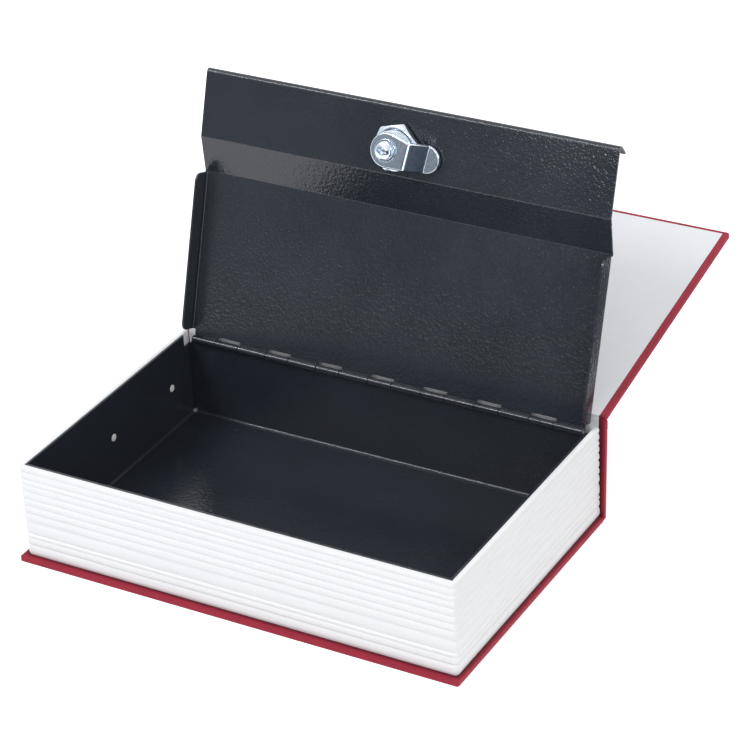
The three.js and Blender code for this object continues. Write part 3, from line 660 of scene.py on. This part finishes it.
def page_plastic(finish):
    material, tree, shader = fresh("Page plastic")
    place = object_vector(tree)
    leaves = node(tree, "ShaderNodeMapping", {}, {"Vector": place, "Scale": (14.0, 14.0, 1500.0)})
    streaks = mottled(tree, leaves.outputs["Vector"], finish.pages, (0.955, 1.01), 1.0, 4.0, 0.3)
    skin = grained(tree, place, 500.0, 1700.0, 0.3)
    feed(tree, shader, {
        "Base Color": streaks["Color"], "Roughness": ranged(tree, skin["Height"], 0.42, 0.62)})
    height = math_of(tree, "MULTIPLY_ADD", streaks["Value"], 1.6, skin["Height"])
    bumped(tree, shader, height, 0.5, 0.05 * MM)
    return material


def painted_steel(finish):
    material, tree, shader = fresh("Painted steel")
    place = object_vector(tree)
    cut = marked(tree, "Cut edge")
    smooth = smooth_parts(tree, place, cut)
    peel = grained(tree, place, 420.0, 800.0, 0.9)
    patches = mottled(tree, place, finish.steel, (0.85, 1.2), 26.0, 4.0, 0.3)
    dull = ranged(tree, patches["Value"], 0.17, 0.23)
    gloss = node(tree, "ShaderNodeMix", {"data_type": "FLOAT"}, {"Factor": smooth, 2: dull, 3: 0.1})
    # Cut edges get a base colour four times lighter: a painted highlight along the sheet's edges.
    feed(tree, shader, {
        "Base Color": mixed(tree, cut, patches["Color"], shaded(finish.steel, 4.0)),
        "Roughness": gloss.outputs[0], "Specular IOR Level": 0.6})
    dimples = math_of(tree, "MULTIPLY", peel["Height"], ranged(tree, smooth, 1.0, 0.12))
    bumped(tree, shader, dimples, 1.0, finish.peel)
    return material


def zinc_plate(finish):
    material, tree, shader = fresh("Zinc plate")
    place = object_vector(tree)
    patches = mottled(tree, place, finish.zinc, (0.82, 1.16), 420.0, 6.0, 0.22)
    skin = grained(tree, place, 1400.0, 5000.0, 0.4)
    bright = ranged(tree, patches["Value"], 0.18, 0.09)
    feed(tree, shader, {
        "Base Color": patches["Color"], "Metallic": 1.0,
        "Roughness": math_of(tree, "MULTIPLY_ADD", marked(tree, "Rolled"), 0.05, bright)})
    bumped(tree, shader, skin["Height"], 0.25, 0.02 * MM)
    return material


def lock_brass(finish):
    material, tree, shader = fresh("Lock brass")
    place = object_vector(tree)
    patches = mottled(tree, place, finish.brass, (0.78, 1.05), 900.0, 5.0, 0.25)
    turned_lines = grained(tree, place, 2600.0, 5200.0, 0.4)
    feed(tree, shader, {
        "Base Color": patches["Color"], "Metallic": 1.0,
        "Roughness": ranged(tree, patches["Value"], 0.42, 0.28)})
    bumped(tree, shader, turned_lines["Height"], 0.3, 0.02 * MM)
    return material


def spring_steel(finish):
    material, tree, shader = fresh("Spring steel")
    drawn = placed_group(tree, "Mottle", {
        "Vector": object_vector(tree), "Scale": 2400.0, "Detail": 3.0, "Contrast": 0.25,
        "Tone A": (0.42, 0.43, 0.45, 1.0), "Tone B": (0.62, 0.63, 0.65, 1.0)})
    feed(tree, shader, {
        "Base Color": drawn["Color"], "Metallic": 1.0,
        "Roughness": ranged(tree, drawn["Value"], 0.4, 0.26)})
    bumped(tree, shader, drawn["Value"], 0.2, 0.01 * MM)
    return material


def grey_board(finish):
    material, tree, shader = fresh("Grey board")
    place = object_vector(tree)
    fibres = grained(tree, place, 700.0, 1500.0, 0.8)
    patches = mottled(tree, place, finish.board, (0.7, 1.25), 350.0, 6.0, 0.18)
    feed(tree, shader, {
        "Base Color": patches["Color"],
        "Roughness": ranged(tree, fibres["Pit"], 0.95, 0.85)})
    bumped(tree, shader, fibres["Height"], 0.8, 0.08 * MM)
    return material


FINISHES = {
    "greyboard": grey_board,
    "book_cloth": book_cloth,
    "endpaper": lining_paper,
    "page_plastic": page_plastic,
    "painted_steel": painted_steel,
    "zinc_plate": zinc_plate,
    "lock_brass": lock_brass,
    "spring_steel": spring_steel,
}


def finish_of(slot_name):
    """The one material of a finish, made when it is first asked for."""
    scene = bpy.context.scene
    key = f"finish_{slot_name}"
    if scene.get(key) is None:
        scene[key] = FINISHES[slot_name](scene.book_safe_finish)
    return scene[key]


# Operators, one for each piece or group of like pieces

class BOOKSAFE_OT_hidden(bpy.types.Operator):
    """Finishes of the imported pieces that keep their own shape"""
    bl_idname = "book_safe.hidden"
    bl_label = "Inner pieces"

    def execute(self, context):
        for row in frame["record"]["subparts"]:
            for slot in frame["nodes"][row["node"]].material_slots:
                slot.link = "OBJECT"
                slot.material = finish_of(row["material_slot"])
        return {"FINISHED"}


class BOOKSAFE_OT_case(bpy.types.Operator):
    """Back cover, spine and front cover in cloth, each with its lining paper"""
    bl_idname = "book_safe.case"
    bl_label = "Book case"

    def execute(self, context):
        sizes = context.scene.book_safe_sizes
        covers = (
            ("back", "base", "back_cloth", "back_pastedown", Matrix.Identity(4),
             (-BACK_Y, BACK_FOLD_Y, False, True), (sizes.back_turn_in, sizes.back_turn_in)),
            ("spine", "spine", "spine_cloth", "spine_lining", SPINE_PLACE @ STAND_SPINE,
             (SPINE_FOOT_Z, SPINE_TOP_Z, True, True), (sizes.spine_turn_in, 0.0)),
            ("front", "front_cover", "front_cloth", "front_endpaper", COVER_PLACE @ TURN_OVER,
             (-FRONT_FOLD_Y, BACK_Y, True, False), (sizes.turn_in, sizes.fore_turn_in)),
        )
        for label, body, cloth_node, paper_node, place, span, turned_in in covers:
            bound = slab(*span, sizes)
            bmesh.ops.transform(bound, matrix=place, verts=bound.verts)
            finish_piece(f"{label}_cover_cloth", bound, body, "book_cloth", (cloth_node,))
            sheet = lining(*span, sizes, *turned_in)
            bmesh.ops.transform(sheet, matrix=place, verts=sheet.verts)
            finish_piece(f"{label}_cover_paper", sheet, body, "endpaper", (paper_node,))
        return {"FINISHED"}


class BOOKSAFE_OT_folds(bpy.types.Operator):
    """Cloth and paper that run across the two folds of the case"""
    bl_idname = "book_safe.folds"
    bl_label = "Folds"

    def inner_line(self, lift):
        """Up the spine's inner face and on along the front cover's, a given height above the cloth."""
        spine = SPINE_PLACE @ STAND_SPINE
        cover = COVER_PLACE @ TURN_OVER
        raised = lift + 0.06 * MM
        up_spine = [spine @ Vector((0.0, y * MM, lift)) for y in (47.0, 50.5, 53.0, 54.3)]
        up_spine.append(spine @ Vector((0.0, 54.85 * MM, raised)))
        over_cover = [cover @ Vector((0.0, -74.75 * MM, raised))]
        over_cover += [cover @ Vector((0.0, -y * MM, lift)) for y in (74.1, 73.2, 71.5, 68.5)]
        between = (up_spine[-1] + over_cover[0]) / 2
        fold = SPINE_PLACE @ Vector(JOINTS["front_cover_fold"]["pos_m"])
        between += (fold - between).normalized() * Vector((0.0, 1.0, 1.0)) * 0.4 * MM
        line = up_spine + [between] + over_cover
        return [(point.y / MM, point.z / MM) for point in line]

    def execute(self, context):
        sizes = context.scene.book_safe_sizes
        wide = (CASE_HALF - FOLD_MARGIN) * MM
        turned_line = self.inner_line(COVER_STACK * MM - sizes.paper - 0.02 * MM)
        paper_line = self.inner_line(COVER_STACK * MM + 0.14 * MM)
        inside = ((0, 0.0773, 0.0540), (0, 0.0773, 0.0556))
        strips = (
            ("fold_cloth_top", "book_cloth", TOP_FOLD_LINE, wide, 0.12,
             ("spine", "front_cover"), ((0, 0.0790, 0.0545), (0, 0.0790, 0.0553))),
            ("fold_turn_in_top", "book_cloth", turned_line, wide, 0.1, ("spine", "front_cover"), inside),
            ("fold_paper_top", "endpaper", paper_line, CASE_HALF * MM - sizes.spine_turn_in, 0.12,
             ("spine", "front_cover"), inside),
            ("fold_cloth_foot", "book_cloth", FOOT_FOLD_LINE, wide, 0.1,
             ("base", "spine"), ((0, 0.0742, 0.0), (0, 0.0762, 0.0))),
        )
        for name, slot_name, line, half, thickness, bodies, (start, end) in strips:
            strip = finish_piece(name, folded_sheet(line, half, thickness * MM), None, slot_name)
            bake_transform(strip)
        return {"FINISHED"}


class BOOKSAFE_OT_pages(bpy.types.Operator):
    """Page block with its moulded pages, rim and the studs that hold the tray"""
    bl_idname = "book_safe.pages"
    bl_label = "Page block"

    def profile(self, sizes):
        """The wall's section, from the foot up the ridges, over the rim and down inside: depth and height."""
        points = []
        foot = BLOCK_BOTTOM_Z * MM
        for share in RIDGE_SHARES:
            height = (BLOCK_TOP_Z - BLOCK_BOTTOM_Z) * MM * share / sum(RIDGE_SHARES)
            for step in range(RIDGE_STEPS):
                part = step / RIDGE_STEPS
                hollow = abs(2 * part - 1) ** RIDGE_FULLNESS
                points.append((sizes.groove_depth * hollow, foot + part * height))
            foot += height
        points += [
            (sizes.groove_depth * 0.9, foot - 0.1 * MM), (sizes.groove_depth + 0.1 * MM, foot),
            (sizes.page_wall - 0.15 * MM, foot), (sizes.page_wall, foot - 0.15 * MM)]
        for height in POCKET_HEIGHTS:
            points += [(sizes.page_wall, (height + 0.05) * MM), (sizes.page_wall, (height - 0.05) * MM)]
        points.append((sizes.page_wall, BLOCK_BOTTOM_Z * MM))
        return points

    def swept(self, bm, edges, steps, travel=None, centre=None):
        """Carries the open section on along a line, or a quarter turn round an upright line."""
        for _ in range(steps):
            new = verts_in(bmesh.ops.extrude_edge_only(bm, edges=edges)["geom"])
            if centre is None:
                bmesh.ops.translate(bm, vec=travel / steps, verts=new)
            else:
                turn = Matrix.Rotation(math.radians(90) / steps, 3, "Z")
                bmesh.ops.rotate(bm, cent=centre, matrix=turn, verts=new)
            edges = edges_between(new)
        return edges

    def wander(self, bm, sizes):
        """Lets each moulded page stray a little in and out, and its groove up and down."""
        outside = [
            vert for vert in bm.verts
            if (abs(vert.co.x) > (BLOCK_HALF - 1.2) * MM or vert.co.y < (BLOCK_FORE_Y + 1.2) * MM)
            and (BLOCK_BOTTOM_Z + 0.5) * MM < vert.co.z < (BLOCK_TOP_Z - 0.4) * MM]
        moves = []
        for vert in outside:
            long_way = Vector((vert.co.x * 26.0, vert.co.y * 26.0, vert.co.z * 420.0))
            slow_way = Vector((vert.co.x * 16.0, vert.co.y * 16.0, vert.co.z * 300.0 + 40.0))
            level = Vector((vert.normal.x, vert.normal.y, 0.0))
            inwards = -level.normalized() * abs(noise.noise(long_way)) * sizes.page_wander
            upwards = noise.noise(slow_way) * sizes.page_wander * 1.4
            moves.append((vert, inwards + Vector((0.0, 0.0, upwards))))
        for vert, move in moves:
            vert.co += move

    def cam_pocket(self, bm, sizes):
        """Sinks the fore wall's inner face where the tip of the locked cam reaches."""
        top, foot = POCKET_HEIGHTS
        inner = BLOCK_FORE_Y * MM + sizes.page_wall
        for vert in bm.verts:
            level = foot * MM < vert.co.z < top * MM
            near = abs(vert.co.x / MM - LOCK_PLACE[0]) < POCKET_HALF
            if level and near and abs(vert.co.y - inner) < HAIR:
                vert.co.y -= POCKET_DEPTH * MM

    def stud(self, bm, side, y, z):
        """One stud on a side wall, made about the origin, where nothing else stands, and then moved out."""
        made = bmesh.ops.create_cone(
            bm, cap_ends=True, segments=28, radius1=STUD_RADIUS * MM, radius2=STUD_RADIUS * MM,
            depth=STUD_LENGTH * MM)["verts"]
        rims = [edge for edge in edges_between(made) if len({vert.co.z > 0 for vert in edge.verts}) == 1]
        bevelled(bm, rims, 0.4 * MM, 3, clamped=False)
        loose = [vert for vert in bm.verts if vert.co.length < 3 * MM]
        bmesh.ops.rotate(bm, cent=(0, 0, 0), matrix=Matrix.Rotation(math.radians(90), 3, "Y"), verts=loose)
        bmesh.ops.translate(bm, vec=(side * (TRAY_INSIDE_X + STUD_MIDDLE) * MM, y, z), verts=loose)

    def execute(self, context):
        sizes = context.scene.book_safe_sizes
        corner = BLOCK_CORNER * MM
        half = BLOCK_HALF * MM
        fore = BLOCK_FORE_Y * MM
        back = BACK_FOLD_Y * MM
        bottom = BLOCK_BOTTOM_Z * MM
        bm = bmesh.new()
        section = [bm.verts.new((depth - half, back, height)) for depth, height in self.profile(sizes)]
        edges = [bm.edges.new(pair) for pair in zip(section, section[1:] + section[:1])]
        start = list(edges)
        side = Vector((0.0, fore + corner - back, 0.0))
        edges = self.swept(bm, edges, 40, travel=side)
        edges = self.swept(bm, edges, 8, centre=(corner - half, fore + corner, 0.0))
        edges = self.swept(bm, edges, 64, travel=Vector((2 * (half - corner), 0.0, 0.0)))
        edges = self.swept(bm, edges, 8, centre=(half - corner, fore + corner, 0.0))
        edges = self.swept(bm, edges, 40, travel=-side)
        bmesh.ops.contextual_create(bm, geom=start)
        bmesh.ops.contextual_create(bm, geom=edges)
        bmesh.ops.recalc_face_normals(bm, faces=bm.faces)
        self.wander(bm, sizes)
        self.cam_pocket(bm, sizes)
        inner = half - sizes.page_wall
        block_between(
            bm, (-inner, fore + sizes.page_wall, bottom), (inner, back, bottom + sizes.page_floor))
        for y, z in STAKE_PLACES:
            for side_sign in (-1, 1):
                self.stud(bm, side_sign, y * MM, z * MM)
        finish_piece("pages", bm, "base", "page_plastic", ("page_block",), 50.0)
        return {"FINISHED"}


class BOOKSAFE_OT_steel(bpy.types.Operator):
    """Folded tray and lid in powder coated sheet"""
    bl_idname = "book_safe.steel"
    bl_label = "Tray and lid"

    def execute(self, context):
        sizes = context.scene.book_safe_sizes
        for name, body in (("tray", "base"), ("lid", "lid")):
            bm = copied_node(name, sizes.steel_round)
            finish_piece(f"steel_{name}", bm, body, "painted_steel", (name,), 30.0)
        return {"FINISHED"}


class BOOKSAFE_OT_lock(bpy.types.Operator):
    """Cam lock: threaded housing, star washer, nut, plug, cam, washer and screw"""
    bl_idname = "book_safe.lock"
    bl_label = "Cam lock"

    def span(self, name):
        """Heights, bore radius and widest radius of a lock piece about the lock's axis, in millimetres."""
        back = LOCK_FRAME.inverted()
        points = [back @ vert.co / MM for vert in frame["nodes"][name].data.vertices]
        heights = [point.z for point in points]
        radii = [math.hypot(point.x, point.y) for point in points]
        return min(heights), max(heights), min(radii), max(radii)

    def housing(self):
        """The threaded barrel with its two flats, and the round head on the lid's outside."""
        end, top, bore, head = self.span("lock_housing")
        foot = LOCK_HEAD_FOOT_Z
        outer = LOCK_BARREL
        pitch = bpy.context.scene.book_safe_sizes.thread_pitch / MM
        thread = [(outer - 0.6, end), (outer - 0.3, end + 0.25)]
        for turn in range(int((foot - end - 1.2) / pitch)):
            base = end + 0.5 + turn * pitch
            thread += [(outer - 0.5, base), (outer, base + pitch * 0.36), (outer, base + pitch * 0.6)]
        crown = [
            (outer - 0.4, foot - 0.4), (outer - 0.4, foot), (head - 0.3, foot), (head, foot + 0.3),
            (head, top - 1.1), (head - 0.2, top - 0.5), (head - 0.7, top - 0.1), (head - 1.1, top),
            (bore + 0.9, top), (bore + 0.6, top - 0.15), (bore + 0.2, top - 0.75), (bore, top - 0.8)]
        bm = turned([(bore, end)] + thread + crown, 64)
        for vert in bm.verts:
            if vert.co.z < foot * MM - HAIR and abs(vert.co.x) > LOCK_FLAT * MM:
                vert.co.x = math.copysign(LOCK_FLAT * MM, vert.co.x)
        return bm

    def nut(self):
        """A turned blank pulled out to six corners, chamfered round on the side that shows."""
        bottom, top, bore, corner = self.span("lock_nut")
        flats = corner * math.cos(math.radians(30))
        chamfer = flats - 0.5
        bm = turned([
            (bore, bottom + 0.5), (bore + 0.5, bottom), (chamfer, bottom), (flats, bottom + 0.1),
            (flats, top), (bore, top)], 96)
        for vert in bm.verts:
            if math.hypot(vert.co.x, vert.co.y) < (chamfer + 0.1) * MM:
                continue
            angle = math.atan2(vert.co.y, vert.co.x) - NUT_TURN
            offset = (angle % math.radians(60)) - math.radians(30)
            reach = min(flats / math.cos(offset), corner - 0.15)
            vert.co.x *= reach / flats
            vert.co.y *= reach / flats
            if vert.co.z < (bottom + 1) * MM:
                vert.co.z = (bottom + (reach - chamfer) * 0.58) * MM
        bmesh.ops.recalc_face_normals(bm, faces=bm.faces)
        return bm

    def washer(self):
        """The cam's plain washer, with the rounded rim that punching leaves."""
        low, high, bore, outer = self.span("cam_washer")
        return turned([
            (bore, low + 0.1), (bore + 0.1, low), (outer - 0.25, low), (outer - 0.08, low + 0.1),
            (outer, low + 0.28), (outer, high - 0.2), (outer - 0.15, high), (bore, high)], 56)

    def execute(self, context):
        for name, body, shape in (
                ("lock_housing", "lid", self.housing), ("lock_nut", "lid", self.nut),
                ("cam_washer", "lock_cam", self.washer)):
            bm = shape()
            bmesh.ops.transform(bm, matrix=LOCK_FRAME, verts=bm.verts)
            finish_piece(f"{name}_turned", bm, body, "zinc_plate", (name,), 32.0)
        for name, body, rounding, slot_name in (
                ("lock_star_washer", "lid", 0.12, "zinc_plate"), ("lock_cam", "lock_cam", 0.8, "zinc_plate"),
                ("cam_screw", "lock_cam", 0.1, "zinc_plate"), ("lock_plug", "lock_cam", 0.08, "lock_brass")):
            is_cam = name == "lock_cam"
            bm = copied_node(name, rounding * MM, 3, clamped=not is_cam)
            if is_cam:
                mark = bm.verts.layers.float.new("Rolled")
                for vert in bm.verts:
                    vert[mark] = 1.0
            finish_piece(f"{name}_pressed", bm, body, slot_name, (name,), 32.0)
        return {"FINISHED"}


class BOOKSAFE_OT_stage(bpy.types.Operator):
    """Pale floor, soft lamps, room light and the camera"""
    bl_idname = "book_safe.stage"
    bl_label = "Stage"

    def lamp(self, context, name, place, size, power, colour=(1.0, 1.0, 1.0)):
        light = bpy.data.lights.new(name, "AREA")
        light.shape = "RECTANGLE"
        light.size, light.size_y = size
        light.energy = power
        light.color = colour
        lamp = bpy.data.objects.new(name, light)
        lamp.location = place
        lamp.rotation_euler = (Vector(LAMP_AIM) - Vector(place)).to_track_quat("-Z", "Y").to_euler()
        context.scene.collection.objects.link(lamp)

    def floor(self):
        """A pale disc, which shows white to the camera and in reflections and keeps the book's shadow."""
        material, tree, shader = fresh("Studio floor")
        path = node(tree, "ShaderNodeLightPath", {}, {}).outputs
        seen = math_of(tree, "MAXIMUM", path["Is Camera Ray"], path["Is Glossy Ray"])
        feed(tree, shader, {
            "Base Color": (0.8, 0.8, 0.8, 1.0), "Roughness": 0.9, "Specular IOR Level": 0.1,
            "Emission Color": WHITE, "Emission Strength": math_of(tree, "MULTIPLY", seen, 0.6)})
        bm = bmesh.new()
        bmesh.ops.create_circle(bm, cap_ends=True, segments=96, radius=7.0)
        floor = made_object("stage_floor", bm, material)
        floor.location.z = -0.0002

    def glowing(self, name, colour, strength):
        """A black material that gives light of its own."""
        material, tree, shader = fresh(name)
        feed(tree, shader, {
            "Base Color": BLACK, "Specular IOR Level": 0.0, "Emission Color": colour,
            "Emission Strength": strength})
        return material, tree, shader

    def only_reflected(self, piece):
        piece.visible_camera = False
        piece.visible_diffuse = False
        piece.visible_shadow = False
        piece.visible_transmission = False

    def horizon(self):
        """A band that only reflections see: dim at the left, dark in front, bright below the camera."""
        first, last = HORIZON_SPAN
        material, tree, shader = self.glowing("Studio horizon", WHITE, 2.5)
        split = node(tree, "ShaderNodeSeparateXYZ", {}, {0: object_vector(tree)}).outputs
        turn = math_of(tree, "ARCTAN2", split["X"], math_of(tree, "MULTIPLY", split["Y"], -1.0))
        tones = node(tree, "ShaderNodeValToRGB", {}, {"Fac": ranged(tree, turn, 0.0, 1.0, first, last)})
        ramp = tones.color_ramp
        ramp.elements[0].position = 0.0
        ramp.elements[1].position = 1.0
        for degrees, level in HORIZON_TONES:
            spot = ramp.elements.new((math.radians(degrees) - first) / (last - first))
            spot.color = (level * 0.92, level, min(level * 1.1, 1.0), 1.0)
        ramp.elements[0].color = (0.32, 0.34, 0.36, 1.0)
        ramp.elements[-1].color = (0.04, 0.04, 0.044, 1.0)
        fade = ranged(tree, split["Z"], 0.0, 1.0, HORIZON_HEIGHT * 0.7, HORIZON_HEIGHT)
        glow = mixed(tree, fade, tones.outputs["Color"], (0.4, 0.4, 0.4, 1.0))
        feed(tree, shader, {"Emission Color": glow})
        foot = Vector((math.sin(first) * HORIZON_RADIUS, -math.cos(first) * HORIZON_RADIUS, 0.0))
        bm = bmesh.new()
        low = bm.verts.new(foot)
        high = bm.verts.new(foot + Vector((0.0, 0.0, HORIZON_HEIGHT)))
        post = bm.edges.new((low, high))
        bmesh.ops.spin(
            bm, geom=[low, high, post], cent=(0, 0, 0), axis=(0, 0, 1), angle=last - first, steps=70,
            use_merge=False)
        self.only_reflected(made_object("stage_horizon", bm, material))

    def side_card(self):
        """A dim card close to the right of the book, which only reflections see."""
        material, _, _ = self.glowing("Studio side card", (0.75, 0.9, 1.1, 1.0), 0.12)
        bm = bmesh.new()
        bmesh.ops.create_grid(bm, x_segments=1, y_segments=1, size=0.5)
        bmesh.ops.scale(bm, vec=(0.42, 0.7, 1.0), verts=bm.verts)
        tilt = Matrix.Rotation(math.radians(-33), 3, "Y")
        bmesh.ops.rotate(bm, cent=(0, 0, 0), matrix=tilt, verts=bm.verts)
        bmesh.ops.translate(bm, vec=(0.34, -0.05, 0.117), verts=bm.verts)
        self.only_reflected(made_object("stage_side_card", bm, material))

    def room(self, context, strength):
        """White to the camera and in reflections, and a plain pale light on everything else."""
        world = bpy.data.worlds.new("Studio room")
        world.use_nodes = True
        tree = world.node_tree
        path = node(tree, "ShaderNodeLightPath", {}, {}).outputs
        seen = math_of(tree, "MAXIMUM", path["Is Camera Ray"], path["Is Glossy Ray"])
        seen = math_of(tree, "MAXIMUM", seen, path["Is Transmission Ray"])
        feed(tree, tree.nodes["Background"], {"Color": WHITE, "Strength": ranged(tree, seen, strength, 1.0)})
        context.scene.world = world

    def camera(self, context, stage):
        level = math.cos(stage.elevation)
        away = Vector((
            math.sin(stage.azimuth) * level, -math.cos(stage.azimuth) * level, math.sin(stage.elevation)))
        right = Vector((math.cos(stage.azimuth), math.sin(stage.azimuth), 0.0))
        up = away.cross(right)
        turn = Matrix((right, up, away)).transposed() @ Matrix.Rotation(stage.roll, 3, "Z")
        lens = bpy.data.cameras.new("Camera")
        lens.lens = stage.lens
        lens.sensor_width = 36.0
        lens.clip_end = 50.0
        camera = bpy.data.objects.new("Camera", lens)
        place = Vector(CAMERA_TARGET) * MM + away * stage.distance
        camera.matrix_world = Matrix.Translation(place) @ turn.to_4x4()
        context.scene.collection.objects.link(camera)
        context.scene.camera = camera

    def execute(self, context):
        stage = context.scene.book_safe_stage
        self.floor()
        self.room(context, stage.room)
        self.horizon()
        self.side_card()
        for lamp in (
                ("Key lamp", (-1.1, -1.0, 1.5), (1.3, 1.0), stage.key_power),
                ("Fill lamp", (1.6, -0.7, 1.0), (1.2, 1.0), stage.fill_power),
                ("Back lamp", (0.3, 1.5, 1.6), (1.4, 1.0), stage.back_power),
                ("Front lamp", (-0.35, -1.45, 0.68), (0.13, 0.1), stage.front_power),
                ("Strip lamp", (-0.74, -0.86, 1.3), (0.8, 0.06), stage.strip_power, (0.84, 0.92, 1.0))):
            self.lamp(context, *lamp)
        self.camera(context, stage)
        context.scene.view_settings.view_transform = "Standard"
        return {"FINISHED"}


class BOOKSAFE_PT_panel(bpy.types.Panel):
    """Steps and values of the book safe"""
    bl_idname = "BOOKSAFE_PT_panel"
    bl_label = "Book safe"
    bl_space_type = "VIEW_3D"
    bl_region_type = "UI"
    bl_category = "Book safe"

    def draw(self, context):
        for group in (context.scene.book_safe_sizes, context.scene.book_safe_finish,
                      context.scene.book_safe_stage):
            box = self.layout.box()
            for name in group.bl_rna.properties.keys():
                if name not in {"rna_type", "name"}:
                    box.prop(group, name)
        for step in STEPS:
            self.layout.operator(step.bl_idname)


STEPS = (
    BOOKSAFE_OT_hidden,
    BOOKSAFE_OT_case,
    BOOKSAFE_OT_folds,
    BOOKSAFE_OT_pages,
    BOOKSAFE_OT_steel,
    BOOKSAFE_OT_lock,
    BOOKSAFE_OT_stage,
)
CLASSES = (BookSafeSizes, BookSafeFinish, BookSafeStage, *STEPS, BOOKSAFE_PT_panel)


def register():
    for kind in CLASSES:
        bpy.utils.register_class(kind)
    bpy.types.Scene.book_safe_sizes = PointerProperty(type=BookSafeSizes)
    bpy.types.Scene.book_safe_finish = PointerProperty(type=BookSafeFinish)
    bpy.types.Scene.book_safe_stage = PointerProperty(type=BookSafeStage)


def unregister():
    del bpy.types.Scene.book_safe_sizes
    del bpy.types.Scene.book_safe_finish
    del bpy.types.Scene.book_safe_stage
    for kind in reversed(CLASSES):
        bpy.utils.unregister_class(kind)


def main():
    register()
    bpy.ops.book_safe.hidden()
    bpy.ops.book_safe.case()
    bpy.ops.book_safe.folds()
    bpy.ops.book_safe.pages()
    bpy.ops.book_safe.steel()
    bpy.ops.book_safe.lock()
    bpy.ops.book_safe.stage()


if __name__ == "__main__":
    main()
